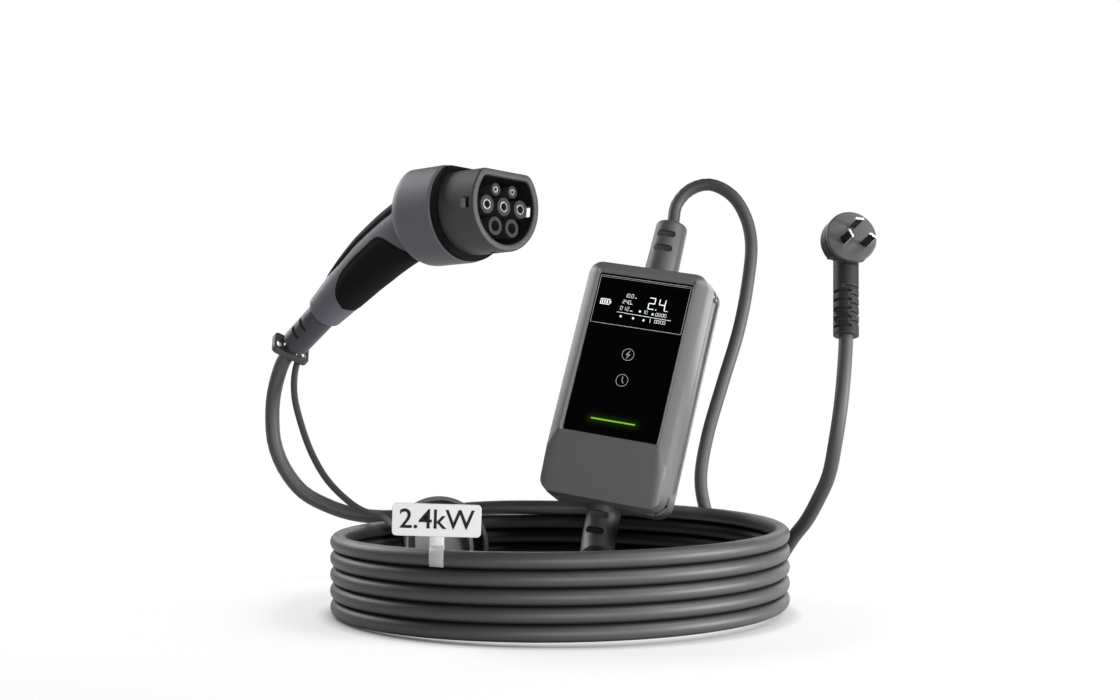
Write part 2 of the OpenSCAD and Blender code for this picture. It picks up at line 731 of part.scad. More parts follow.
// Cables
// The wound turns as one ring: a lobe for each turn, and a foot where the first turn starts
module cable_coil() {
    color(cable_grey) rotate_extrude($fn = 96) {
        translate([coil_r, cable_d / 2]) circle(cable_d / 2, $fn = 32);
        for (i = [0:coil_turns - 1]) translate([coil_r, cable_d * (i + 0.75)]) circle(cable_d / 2, $fn = 32);
        translate([coil_r - cable_d / 4, cable_d / 2]) square([cable_d / 2, cable_d * (coil_turns - 0.75)]);
    }
}
module gun_cable() {
    color(cable_grey) swept_cord(gun_route, cable_d / 2, cable_d / 2, 10, [0, 0, 1]);
}
module box_cable() {
    color(cable_grey) swept_cord(box_route, cable_d / 2, cable_d / 2, 10, [0, 0, 1]);
}
module mains_lead() {
    color(cable_grey) swept_cord(lead_route, lead_d / 2, lead_d / 2, 10, [0, 1, 0]);
}

// Rating tag on a clip over the top turn
tag_angle = 240;
tag_t = 1.8;
clip_w = 10;
clip_t = 1.4;
clip_r = cable_d / 2 + 0.3;
clip_z = cable_d * (coil_turns - 0.25);
stem_top = 15;
tag_turn = 30;
module at_tag() {
    rotate(tag_angle) translate([coil_r, 0, clip_z]) children();
}
module tag_clip() {
    color("#8d8f92") at_tag() union() {
        rotate([90, 0, 0]) rotate([0, 0, -55]) rotate_extrude(angle = 205, $fn = fine)
            translate([clip_r, -clip_w / 2]) square([clip_t, clip_w]);
        rotate(tag_turn) translate([-clip_t / 2, -clip_w / 2, clip_r + clip_t / 2])
            cube([clip_t, clip_w, stem_top - clip_r]);
    }
}
module tag_plate() {
    color("#e4e5e7") at_tag() rotate(tag_turn)
        translate([clip_t / 2 + skin, 0, stem_top + tag_h / 2 - 1]) rotate([90, 1.7, 90]) linear_extrude(tag_t)
             offset(3, $fn = 32) square([tag_w - 6, tag_h - 6], center = true);
}

front_shell();
back_shell();
case_seal();
display_glass();
display_module();
light_guide();
control_board();
relay_pair();
current_sensor();
supply_module();
terminal_block();
case_screws();
input_relief();
output_relief();
gun_shell_left();
gun_shell_right();
nozzle();
contact_carrier();
power_contacts();
signal_contacts();
nozzle_seal();
top_strip();
grip();
gun_relief();
tether_ring();
tether_strap();
dust_cap();
plug_body();
plug_face();
line_pins();
earth_pin();
cable_coil();
gun_cable();
box_cable();
mains_lead();
tag_plate();
tag_clip();
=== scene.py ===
"""Looks of the portable EV charger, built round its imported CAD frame."""

import math

import bmesh
import bpy
from mathutils import Matrix, Vector


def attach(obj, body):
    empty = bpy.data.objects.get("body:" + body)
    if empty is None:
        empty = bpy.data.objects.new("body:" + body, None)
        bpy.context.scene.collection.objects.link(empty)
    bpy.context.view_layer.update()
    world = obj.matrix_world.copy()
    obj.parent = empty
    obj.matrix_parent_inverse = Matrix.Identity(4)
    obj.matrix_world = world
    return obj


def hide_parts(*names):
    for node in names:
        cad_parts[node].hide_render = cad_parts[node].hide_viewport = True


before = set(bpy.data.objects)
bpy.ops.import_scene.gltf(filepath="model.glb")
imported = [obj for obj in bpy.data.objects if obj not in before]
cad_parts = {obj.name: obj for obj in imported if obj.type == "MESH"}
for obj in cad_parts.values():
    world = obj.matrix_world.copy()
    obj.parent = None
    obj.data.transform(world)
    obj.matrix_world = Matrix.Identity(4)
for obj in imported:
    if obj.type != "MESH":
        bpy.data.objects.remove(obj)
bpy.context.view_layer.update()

bl_info = {
    "name": "Portable EV charger",
    "version": (1, 0, 0),
    "blender": (4, 5, 0),
    "location": "View3D > Sidebar > Charger",
    "description": "Cables, connector, control box, plug and stage of a portable EV charger",
    "category": "Object",
}

MM = 0.001
BODY = "root"


def placed(position, *turns):
    """Matrix of a local frame: a position in millimetres, then turns in degrees."""
    matrix = Matrix.Translation(Vector(position) * MM)
    for axis, angle in turns:
        matrix = matrix @ Matrix.Rotation(math.radians(angle), 4, axis)
    return matrix


BOX = placed((56, 120, 191), ("Z", -17), ("X", -17.4), ("Y", 8.9))
GUN = placed((-39.5, -21, 303), ("Z", -43), ("Y", -2), ("X", -3.5))
PLUG = placed((217, -20, 281), ("Z", 12), ("X", -16), ("Y", 6))
CAP = placed((-94, 78, 41.5), ("Z", 15), ("X", -15))
TAG_TURN = 30
TAG = placed((0, 0, 0), ("Z", 240)) @ placed((166, 0, 57), ("Z", TAG_TURN))

# Cord routes in metres, the same points as the CAD routes
TAIL_ROUTE = [(0.0298, 0.0989, 0.0276), (0.029, 0.087, 0.0195), (0.026, 0.069, 0.0115), (0.017, 0.0535, 0.0075),
              (0.003, 0.042, 0.006), (-0.014, 0.036, 0.006), (-0.033, 0.036, 0.006), (-0.058, 0.041, 0.006),
              (-0.083, 0.046, 0.006), (-0.108, 0.0507, 0.006), (-0.1255, 0.0508, 0.006), (-0.1415, 0.045, 0.006),
              (-0.151, 0.0373, 0.006), (-0.1594, 0.027, 0.006), (-0.1643, 0.0152, 0.006)]
GUN_ROUTE = [(-0.0535, 0.1686, 0.0627), (-0.087, 0.1708, 0.0605), (-0.120, 0.172, 0.057), (-0.150, 0.171, 0.0545),
             (-0.178, 0.169, 0.058), (-0.200, 0.167, 0.066), (-0.217, 0.165, 0.076), (-0.229, 0.1635, 0.090),
             (-0.237, 0.162, 0.105), (-0.2415, 0.1605, 0.121), (-0.2425, 0.159, 0.138), (-0.2415, 0.1565, 0.154),
             (-0.2385, 0.1535, 0.168), (-0.232, 0.1485, 0.186), (-0.2215, 0.1405, 0.201)]
LEAD_ROUTE = [(0.097, 0.1833, 0.305), (0.100, 0.186, 0.321), (0.1115, 0.186, 0.334), (0.128, 0.181, 0.338),
              (0.146, 0.172, 0.328), (0.157, 0.164, 0.309), (0.161, 0.157, 0.286), (0.157, 0.149, 0.251),
              (0.149, 0.143, 0.213), (0.135, 0.1385, 0.168), (0.122, 0.137, 0.123), (0.117, 0.138, 0.090),
              (0.120, 0.142, 0.068), (0.127, 0.147, 0.048), (0.136, 0.147, 0.030), (0.146, 0.1385, 0.0155),
              (0.1545, 0.123, 0.0075), (0.161, 0.106, 0.0055), (0.1665, 0.0885, 0.0075), (0.171, 0.071, 0.0155),
              (0.172, 0.057, 0.030), (0.181, 0.035, 0.052), (0.1875, 0.014, 0.066), (0.193, -0.007, 0.083),
              (0.199, -0.025, 0.104), (0.202, -0.036, 0.128), (0.2055, -0.0395, 0.155), (0.2085, -0.0365, 0.181),
              (0.211, -0.0294, 0.2062), (0.2113, -0.0276, 0.2122)]
STRAP_ROUTE = [(-0.219, 0.1495, 0.190), (-0.2215, 0.145, 0.177), (-0.2205, 0.137, 0.158), (-0.2135, 0.128, 0.1345),
               (-0.2035, 0.117, 0.112), (-0.190, 0.105, 0.092), (-0.174, 0.093, 0.0775), (-0.161, 0.084, 0.0695),
               (-0.150, 0.0775, 0.066), (-0.143, 0.074, 0.0649), (-0.137, 0.073, 0.061), (-0.1315, 0.075, 0.0555),
               (-0.1273, 0.0795, 0.0495)]
CABLE_STEP, LEAD_STEP, STRAP_STEP = 0.007, 0.006, 0.004
STRAP_HALF_T, STRAP_SIDES = 0.0013, 16

# The coil: its turns in degrees, and the painted shade in its grooves and on its inside
COIL_START, COIL_END, COIL_STEP = 180, 1890, 15
COIL_TOP = 0.0575
COIL_REACH = 1.2
GROOVE_RISE, GROOVE_SHADE = 3.6, 0.22
INSIDE_SHIFT, INSIDE_SHADE = 0.9, 0.45


class EVC_CableProps(bpy.types.PropertyGroup):
    """Sizes and colours of the cables."""
    cable_d: bpy.props.FloatProperty(name="Cable", description="Diameter of the charging cable", default=0.012,
                                     min=0.011, max=0.013, unit="LENGTH")
    lead_d: bpy.props.FloatProperty(name="Lead", description="Diameter of the mains lead", default=0.0105,
                                    min=0.009, max=0.011, unit="LENGTH")
    coil_r: bpy.props.FloatProperty(name="Coil radius", default=0.166, min=0.16, max=0.17, unit="LENGTH",
                                    description="Radius of the coil at the middle of the cable")
    strap_w: bpy.props.FloatProperty(name="Strap", description="Width of the dust cap's strap", default=0.0055,
                                     min=0.004, max=0.007, unit="LENGTH")
    jacket: bpy.props.FloatVectorProperty(name="Jacket", description="Colour of the cable jackets", size=3,
                                          subtype="COLOR", default=(0.045, 0.045, 0.0455))


class EVC_BoxProps(bpy.types.PropertyGroup):
    """Looks of the control box."""
    edge: bpy.props.FloatProperty(name="Edge", description="Rounding of the case's edges", default=0.0006,
                                  min=0.0002, max=0.002, unit="LENGTH")
    case: bpy.props.FloatVectorProperty(name="Case", description="Colour of the case", size=3, subtype="COLOR",
                                        default=(0.105, 0.105, 0.106))
    lamp: bpy.props.FloatVectorProperty(name="Lamp", description="Colour of the light bar", size=3,
                                        subtype="COLOR", default=(0.33, 0.85, 0.05))
    lamp_power: bpy.props.FloatProperty(name="Lamp power", description="Strength of the light bar", default=3.0,
                                        min=0, max=10)


class EVC_GunProps(bpy.types.PropertyGroup):
    """Looks of the vehicle connector."""
    shell: bpy.props.FloatVectorProperty(name="Shell", description="Colour of the handle's shell", size=3,
                                         subtype="COLOR", default=(0.117, 0.12, 0.14))
    black: bpy.props.FloatVectorProperty(name="Black", description="Colour of the nozzle and the grip", size=3,
                                         subtype="COLOR", default=(0.043, 0.043, 0.0435))
    rim: bpy.props.FloatProperty(name="Rim", description="Rounding of the nozzle's rim", default=0.0018,
                                 min=0.0005, max=0.0025, unit="LENGTH")


class EVC_StageProps(bpy.types.PropertyGroup):
    """Camera and light."""
    lens: bpy.props.FloatProperty(name="Lens", description="Focal length of the camera in millimetres",
                                  default=57.54, min=20, max=200)
    key: bpy.props.FloatProperty(name="Key", description="Power of the main softbox", default=37, min=0, max=200,
                                 subtype="POWER")
    ambient: bpy.props.FloatProperty(name="Ambient", description="Strength of the light from all round",
                                     default=0.05, min=0, max=2)


# Materials
MATERIALS = {}
WHITE = (1, 1, 1, 1)
GRAIN_ENDS = (0.3, 0.7)
ROUGH_SPREAD = 0.06
BUMP_DEPTH = 0.0002


def darker(color, tone):
    """A share of a colour."""
    return [c * tone for c in color]


def node_of(tree, kind, **inputs):
    """Adds a shader node and sets its inputs by name."""
    node = tree.nodes.new(kind)
    for key, value in inputs.items():
        node.inputs[key.replace("_", " ")].default_value = value
    return node


def shaded(name, color, rough, grain=1400, bump=0.06, spread=0.14, metallic=0.0, specular=0.5):
    """Procedural material: fine grain in its colour, its roughness and its surface."""
    if name in MATERIALS:
        return MATERIALS[name]
    material = bpy.data.materials.new(name)
    material.use_nodes = True
    tree = material.node_tree
    shader = tree.nodes["Principled BSDF"]
    shader.inputs["Metallic"].default_value = metallic
    shader.inputs["Specular IOR Level"].default_value = specular
    place = tree.nodes.new("ShaderNodeTexCoord")
    noise = node_of(tree, "ShaderNodeTexNoise", Scale=grain, Detail=4.0)
    tree.links.new(place.outputs["Object"], noise.inputs["Vector"])
    ramp = tree.nodes.new("ShaderNodeValToRGB")
    for element, position, tone in zip(ramp.color_ramp.elements, GRAIN_ENDS, (1 - spread, 1 + spread)):
        element.position = position
        element.color = (*[c * tone for c in color], 1)
    tree.links.new(noise.outputs["Fac"], ramp.inputs["Fac"])
    tree.links.new(ramp.outputs["Color"], shader.inputs["Base Color"])
    level = node_of(tree, "ShaderNodeMapRange", To_Min=rough - ROUGH_SPREAD, To_Max=rough + ROUGH_SPREAD)
    tree.links.new(noise.outputs["Fac"], level.inputs["Value"])
    tree.links.new(level.outputs["Result"], shader.inputs["Roughness"])
    relief = node_of(tree, "ShaderNodeBump", Strength=bump, Distance=BUMP_DEPTH)
    tree.links.new(noise.outputs["Fac"], relief.inputs["Height"])
    tree.links.new(relief.outputs["Normal"], shader.inputs["Normal"])
    MATERIALS[name] = material
    return material


def glowing(name, color, power, grain=900):
    """Emission with a slight grain, for the lamp, the lit digits and the print's painted glow."""
    material = shaded(name, color, 0.4, grain, 0.0)
    shader = material.node_tree.nodes["Principled BSDF"]
    ramp = next(n for n in material.node_tree.nodes if n.type == "VALTORGB")
    material.node_tree.links.new(ramp.outputs["Color"], shader.inputs["Emission Color"])
    shader.inputs["Emission Strength"].default_value = power
    return material


def math_node(tree, kind, *values):
    """Adds a math node on numbers and sockets and gives its result."""
    node = tree.nodes.new("ShaderNodeMath")
    node.operation = kind
    for i, value in enumerate(values):
        if isinstance(value, (int, float)):
            node.inputs[i].default_value = value
        else:
            tree.links.new(value, node.inputs[i])
    return node.outputs["Value"]


def place_axes(tree, matrix=None):
    """Coordinates of a point of the surface, in a frame if one is given."""
    place = next(n for n in tree.nodes if n.type == "TEX_COORD").outputs["Object"]
    if matrix:
        local = tree.nodes.new("ShaderNodeMapping")
        local.vector_type = "TEXTURE"
        local.inputs["Location"].default_value = matrix.to_translation()
        local.inputs["Rotation"].default_value = matrix.to_euler()
        tree.links.new(place, local.inputs["Vector"])
        place = local.outputs["Vector"]
    axes = tree.nodes.new("ShaderNodeSeparateXYZ")
    tree.links.new(place, axes.inputs["Vector"])
    return axes.outputs["X"], axes.outputs["Y"], axes.outputs["Z"]


def toned(tree, factor):
    """Makes a material's colour lighter or darker from place to place."""
    ramp = next(n for n in tree.nodes if n.type == "VALTORGB")
    scale = tree.nodes.new("ShaderNodeVectorMath")
    scale.operation = "SCALE"
    tree.links.new(ramp.outputs["Color"], scale.inputs["Vector"])
    tree.links.new(factor, scale.inputs["Scale"])
    tree.links.new(scale.outputs["Vector"], tree.nodes["Principled BSDF"].inputs["Base Color"])


def from_axis(tree, u, v):
    """Distance from the axis that two coordinates are square to."""
    return math_node(tree, "SQRT", math_node(tree, "ADD", math_node(tree, "MULTIPLY", u, u),
                                             math_node(tree, "MULTIPLY", v, v)))


# Meshes
WELD = 2e-6
SAME_PLANE, RIDGE, SHARP = 0.8, 40, 35  # angles between faces in degrees
SNUG = 1.014  # cords are drawn this much thicker, so that wound turns meet


def link(obj, slot, *nodes):
    """Puts a piece in the scene, on the part's body, and hides the CAD nodes it stands for; slot is not used."""
    if obj.name not in bpy.context.scene.collection.objects:
        bpy.context.scene.collection.objects.link(obj)
    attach(obj, BODY)
    if nodes:
        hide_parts(*nodes)
    return obj


def mesh_object(name, points, faces, material):
    """Object of a mesh, smooth but for its sharp edges."""
    mesh = bpy.data.meshes.new(name)
    mesh.from_pydata([tuple(p) for p in points], [], faces)
    mesh.materials.append(material)
    finish_normals(mesh, SHARP)
    return bpy.data.objects.new(name, mesh)


def finish_normals(mesh, sharp):
    """Smooth shading with sharp edges kept."""
    mesh.validate()
    mesh.polygons.foreach_set("use_smooth", [True] * len(mesh.polygons))
    mesh.set_sharp_from_angle(angle=math.radians(sharp))
    mesh.update()


def rounded(bm, edges, width, segments):
    """Rounds edges of a mesh."""
    bmesh.ops.bevel(bm, geom=edges, offset=width, offset_type="OFFSET", segments=segments, profile=0.5,
                    affect="EDGES", clamp_overlap=True)


def softened(name, node, width, material, slot, angle=RIDGE, segments=2, special=None, sharp=22):
    """A copy of a CAD node with its edges rounded, which stands for the node.

    special is a test of a point in metres and another width, for edges that are rounded more."""
    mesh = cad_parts[node].data.copy()
    mesh.name = name
    bm = bmesh.new()
    bm.from_mesh(mesh)
    bmesh.ops.remove_doubles(bm, verts=bm.verts, dist=WELD)
    bmesh.ops.dissolve_limit(bm, angle_limit=math.radians(SAME_PLANE), verts=bm.verts, edges=bm.edges)

    def ridges(test):
        return [e for e in bm.edges if len(e.link_faces) == 2 and e.calc_face_angle(0) > math.radians(angle)
                and test(e.verts[0].co) and test(e.verts[1].co)]

    if special:
        test, more = special
        rounded(bm, ridges(test), more, 4)
        edges = ridges(lambda co: not test(co))
    else:
        edges = ridges(lambda co: True)
    if width:
        rounded(bm, edges, width, segments)
    bm.to_mesh(mesh)
    bm.free()
    mesh.materials.clear()
    mesh.materials.append(material)
    for polygon in mesh.polygons:
        polygon.material_index = 0
    finish_normals(mesh, sharp)
    obj = bpy.data.objects.new(name, mesh)
    return link(obj, slot, node)


def melt(obj, voxel, rounds):
    """Remeshes an object in even quads and smooths its edges away."""
    bpy.context.view_layer.objects.active = obj
    remesh = obj.modifiers.new("join", "REMESH")
    remesh.mode = "VOXEL"
    remesh.voxel_size = voxel
    smooth = obj.modifiers.new("soften", "SMOOTH")
    smooth.factor = 0.5
    smooth.iterations = rounds
    with bpy.context.temp_override(object=obj, active_object=obj):
        bpy.ops.object.modifier_apply(modifier="join")
        bpy.ops.object.modifier_apply(modifier="soften")
    obj.data.polygons.foreach_set("use_smooth", [True] * len(obj.data.polygons))


def dressed(node, material):
    """Gives a CAD node a better material."""
    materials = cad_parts[node].data.materials
    materials.clear()
    materials.append(material)


def skinned(rings):
    """Points and faces over rings of equal length, with closed ends."""
    count = len(rings[0])
    points = [p for ring in rings for p in ring]
    faces = []
    for i in range(len(rings) - 1):
        for j in range(count):
            a, b = i * count + j, i * count + (j + 1) % count
            faces.append((a, b, b + count, a + count))
    faces.append(tuple(range(count - 1, -1, -1)))
    faces.append(tuple(range((len(rings) - 1) * count, len(rings) * count)))
    return points, faces


def smooth_path(points, step):
    """Points of a smooth curve through a route, about a step apart."""
    pts = [Vector(p) for p in points]
    pts = [2 * pts[0] - pts[1]] + pts + [2 * pts[-1] - pts[-2]]
    out = []
    for a, b, c, d in zip(pts, pts[1:], pts[2:], pts[3:]):
        t0, t1 = 0.0, (b - a).length ** 0.5
        t2 = t1 + (c - b).length ** 0.5
        t3 = t2 + (d - c).length ** 0.5
        count = max(2, round((c - b).length / step))
        for i in range(count):
            t = t1 + (t2 - t1) * i / count
            a1 = a * ((t1 - t) / (t1 - t0)) + b * ((t - t0) / (t1 - t0))
            a2 = b * ((t2 - t) / (t2 - t1)) + c * ((t - t1) / (t2 - t1))
            a3 = c * ((t3 - t) / (t3 - t2)) + d * ((t - t2) / (t3 - t2))
            b1 = a1 * ((t2 - t) / (t2 - t0)) + a2 * ((t - t0) / (t2 - t0))
            b2 = a2 * ((t3 - t) / (t3 - t1)) + a3 * ((t - t1) / (t3 - t1))
            out.append(b1 * ((t2 - t) / (t2 - t1)) + b2 * ((t - t1) / (t2 - t1)))
    return out + [pts[-2]]


def round_cord(name, points, diameter, material):
    """A cord as a curve of one open spline."""
    curve = bpy.data.curves.new(name, "CURVE")
    curve.dimensions = "3D"
    curve.bevel_depth = diameter / 2 * SNUG
    curve.bevel_resolution = 6
    curve.use_fill_caps = True
    curve.twist_mode = "MINIMUM"
    spline = curve.splines.new("POLY")
    spline.points.add(len(points) - 1)
    for point, place in zip(spline.points, points):
        point.co = (*place, 1)
    curve.materials.append(material)
    spline.use_smooth = True
    return bpy.data.objects.new(name, curve)


def jacket():
    """Material of the cable jackets."""
    return shaded("cable_jacket", bpy.context.scene.evc_cable.jacket, 0.55, 1200, 0.08)


def coil_jacket(props):
    """Jacket of the wound cable, with painted shade in the grooves between turns and on the inside of the coil."""
    material = shaded("coil_jacket", props.jacket, 0.5, 1200, 0.08)
    tree = material.node_tree
    x, y, z = place_axes(tree)
    radius = from_axis(tree, x, y)
    turn = math_node(tree, "DIVIDE", math_node(tree, "ARCTAN2", y, x), math.tau)
    level = math_node(tree, "SUBTRACT", math_node(tree, "DIVIDE", z, props.cable_d), turn)
    phase = math_node(tree, "FRACT", math_node(tree, "ADD", level, 0.5))
    apart = math_node(tree, "MINIMUM", phase, math_node(tree, "SUBTRACT", 1.0, phase))
    # painted shade: colour and sheen darker in the grooves between turns and on the coil's inside, where shade
    # falls
    groove_shade = math_node(tree, "ADD", math_node(tree, "MULTIPLY", apart, GROOVE_RISE), GROOVE_SHADE)
    groove_shade = math_node(tree, "MINIMUM", groove_shade, 1.0)
    out = math_node(tree, "DIVIDE", math_node(tree, "SUBTRACT", radius, props.coil_r), props.cable_d / 2)
    inner = math_node(tree, "MAXIMUM", math_node(tree, "ADD", out, INSIDE_SHIFT), INSIDE_SHADE)
    inner = math_node(tree, "MINIMUM", inner, 1.0)
    dull = math_node(tree, "MULTIPLY", groove_shade, inner)
    wound = math_node(tree, "MULTIPLY", math_node(tree, "LESS_THAN", math_node(tree, "ABSOLUTE", out), COIL_REACH),
                      math_node(tree, "LESS_THAN", z, COIL_TOP))
    shade_loss = math_node(tree, "MULTIPLY", wound, math_node(tree, "SUBTRACT", 1.0, dull))
    factor = math_node(tree, "SUBTRACT", 1.0, shade_loss)
    toned(tree, factor)
    shader = tree.nodes["Principled BSDF"]
    tree.links.new(math_node(tree, "MULTIPLY", factor, 0.5), shader.inputs["Specular IOR Level"])
    return material


class EVC_OT_cables(bpy.types.Operator):
    """Charging cable, mains lead and strap"""
    bl_idname = "evc.cables"
    bl_label = "Cables"

    def execute(self, context):
        props = context.scene.evc_cable
        turn = []
        for angle in range(COIL_START, COIL_END + 1, COIL_STEP):
            a = math.radians(angle)
            rise = props.cable_d / 2 + props.cable_d * (angle - COIL_START) / 360
            turn.append((props.coil_r * math.cos(a), props.coil_r * math.sin(a), rise))
        path = smooth_path(TAIL_ROUTE + turn + GUN_ROUTE, CABLE_STEP)
        cable = round_cord("charging_cable", path, props.cable_d, coil_jacket(props))
        link(cable, "cable_grey", "cable_coil", "gun_cable", "box_cable")
        lead = round_cord("mains_lead_cord", smooth_path(LEAD_ROUTE, LEAD_STEP), props.lead_d, jacket())
        link(lead, "cable_grey", "mains_lead")
        self.strap(props)
        return {"FINISHED"}

    def strap(self, props):
        """Flat strap of the dust cap, as an oval tube."""
        path = smooth_path(STRAP_ROUTE, STRAP_STEP)
        rings, side = [], Vector((1, 0, 0))
        for i, p in enumerate(path):
            along = (path[min(i + 1, len(path) - 1)] - path[max(i - 1, 0)]).normalized()
            side = (side - along * side.dot(along)).normalized()
            across = along.cross(side)
            rings.append([p + side * (props.strap_w / 2 * math.cos(t)) + across * (STRAP_HALF_T * math.sin(t))
                          for t in [math.tau * k / STRAP_SIDES for k in range(STRAP_SIDES)]])
        points, faces = skinned(rings)
        strap = mesh_object("strap", points, faces, jacket())
        link(strap, "cable_grey", "tether_strap")


# Light bar and its glow on the panel, in the box's frame
LAMP_Z = -0.0557
LAMP_HALF_L, LAMP_HALF_H, LAMP_TONE = 0.019, 0.00048, 0.2
GLOW_REACH, GLOW_FALL, GLOW_POWER = 0.009, 3.0, 0.03
RELIEF_EDGE = 0.0006
HIDDEN = (("display_module", "screen_back", (0.004, 0.004, 0.005), 0.3, 800),
          ("control_board", "board", (0.02, 0.12, 0.06), 0.4, 400),
          ("relay_pair", "relay", (0.03, 0.07, 0.25), 0.45, 500),
          ("current_sensor", "sensor", (0.03, 0.03, 0.03), 0.6, 500),
          ("supply_module", "supply", (0.04, 0.04, 0.04), 0.5, 500),
          ("terminal_block", "terminals", (0.03, 0.15, 0.06), 0.5, 500))


class EVC_OT_control_box(bpy.types.Operator):
    """Control box: shells, panel and strain reliefs"""
    bl_idname = "evc.control_box"
    bl_label = "Control box"

    def execute(self, context):
        props = context.scene.evc_box
        case = shaded("case_plastic", props.case, 0.36, 1700, 0.06)
        softened("front_case", "front_shell", props.edge, case, "case_plastic", angle=14, sharp=16)
        softened("back_case", "back_shell", props.edge, case, "case_plastic", angle=30)
        rubber = shaded("relief_rubber", (0.06, 0.06, 0.062), 0.5, 1500, 0.08)
        softened("input_strain_relief", "input_relief", RELIEF_EDGE, rubber, "cable_grey")
        softened("output_strain_relief", "output_relief", RELIEF_EDGE, rubber, "cable_grey")
        dressed("case_seal", shaded("seal_black", (0.012, 0.012, 0.012), 0.7, 2000))
        dressed("display_glass", self.panel_glass(props))
        dressed("light_guide", self.lamp(props))
        for node, finish, color, rough, grain in HIDDEN:
            dressed(node, shaded(finish, color, rough, grain))
        dressed("case_screws", shaded("screw_steel", (0.5, 0.5, 0.5), 0.35, 900, metallic=1.0))
        return {"FINISHED"}

    def lamp(self, props):
        """Light bar: a thin lit line in a dim bar."""
        material = glowing("lamp", darker(props.lamp, LAMP_TONE), props.lamp_power)
        tree = material.node_tree
        _, _, height = place_axes(tree, BOX)
        off = math_node(tree, "ABSOLUTE", math_node(tree, "SUBTRACT", height, LAMP_Z))
        lit = math_node(tree, "MULTIPLY", math_node(tree, "LESS_THAN", off, LAMP_HALF_H), props.lamp_power)
        tree.links.new(lit, tree.nodes["Principled BSDF"].inputs["Emission Strength"])
        return material

    def panel_glass(self, props):
        """Black panel with the light bar's glow on it."""
        material = shaded("panel_glass", (0.0012, 0.0012, 0.0013), 0.2, 500, 0.0, specular=0.06)
        tree = material.node_tree
        shader = tree.nodes["Principled BSDF"]
        across, _, height = place_axes(tree, BOX)
        side = math_node(tree, "SUBTRACT", math_node(tree, "ABSOLUTE", across), LAMP_HALF_L)
        side = math_node(tree, "MAXIMUM", side, 0.0)
        rise = math_node(tree, "SUBTRACT", height, LAMP_Z)
        away = math_node(tree, "DIVIDE", from_axis(tree, side, rise), GLOW_REACH)
        near = math_node(tree, "MAXIMUM", math_node(tree, "SUBTRACT", 1.0, away), 0.0)
        glow = math_node(tree, "MULTIPLY", math_node(tree, "POWER", near, GLOW_FALL), GLOW_POWER)
        shader.inputs["Emission Color"].default_value = (*props.lamp, 1)
        tree.links.new(glow, shader.inputs["Emission Strength"])
        return material


# Strokes of the display's digits, and their ends in shares of a digit's width and height
SEGMENTS = {"0": "abcdef", "1": "bc", "2": "abged", "3": "abgcd", "4": "fgbc", "5": "afgcd", "6": "afgedc",
            "7": "abc", "8": "abcdefg", "9": "abcdfg"}
STROKES = {"a": ((0, 1), (1, 1)), "b": ((1, 1), (1, 0.5)), "c": ((1, 0.5), (1, 0)), "d": ((0, 0), (1, 0)),
           "e": ((0, 0), (0, 0.5)), "f": ((0, 0.5), (0, 1)), "g": ((0, 0.5), (1, 0.5))}
# Places across and up the panel, widths and heights in millimetres
# A style of digit is its width, its height, its line and the gap after it
LARGE, SMALL = (5.0, 9.6, 0.75, 2.2), (1.7, 3.1, 0.27, 0.8)
COUNT, CLOCK = (1.6, 2.7, 0.26, 0.8), (1.6, 2.7, 0.26, 0.7)
READINGS = (("2.4", 6.8, 43.0, LARGE), ("10.0", -15.0, 50.2, SMALL), ("240", -15.6, 44.6, SMALL),
            ("01.2", -16.4, 38.9, SMALL), ("10", 3.2, 38.4, COUNT), ("00:00", 14.6, 37.7, CLOCK),
            ("00:00", 15.0, 31.7, CLOCK))
RULES = (((-18.5, 36.6), (28.5, 35.6)), ((11.2, 31.5), (11.2, 34.8)))
RULE_W = 0.35
DOTS = ((-14.5, 33.2), (-3.6, 33.0), (5.6, 32.6), (0.8, 39.7), (12.0, 38.8))
DOT_R, DOT_W, DOT_SIDES = 0.95, 0.7, 20
UNITS = ((21.3, 43.0, 2.6), (-6.0, 50.6, 1.2), (-8.6, 44.8, 1.2), (-7.4, 39.0, 1.6))
UNIT_H = 0.5
BATTERY_AT, BATTERY_LEFT, BATTERY_RIGHT, BATTERY_UP = (-30.5, 44.0), -4.2, 3.6, 2.2
POLE_X, POLE_UP, POLE_W = 4.6, 0.8, 0.7
BAR_X, BAR_STEP, BAR_UP, BAR_W = -2.6, 2.1, 1.0, 1.1
FRAME_CORNERS = ((-39.4, 66.7), (39.4, 66.7), (39.4, 25.2), (-39.4, 25.2))
FRAME_W = 0.42
INNER_RULE, INNER_RULE_W = ((-38.4, 65.4), (38.4, 65.4)), 0.25
KEYS = ((-0.5, 1.7), (-0.5, -20.6))
KEY_R, KEY_W, KEY_SIDES = 5.2, 0.38, 48
KEY_SIGNS = (((-0.5, -20.4), (-0.5, -17.6)), ((-0.5, -20.6), (0.9, -22.8)), ((0.3, 4.6), (-2.0, 1.4)),
             ((-2.0, 1.4), (0.9, 1.9)), ((0.9, 1.9), (-1.3, -1.4)))
SIGN_W = 0.6
PRINT_OFF = -0.00006
DOT_LEVELS = {".": (0.0,), ":": (0.28, 0.68)}
DIGIT_CUT, POINT_FAT, POINT_L = 0.62, 1.15, 0.01
POINT_BACK, POINT_ON = 0.1, 0.8


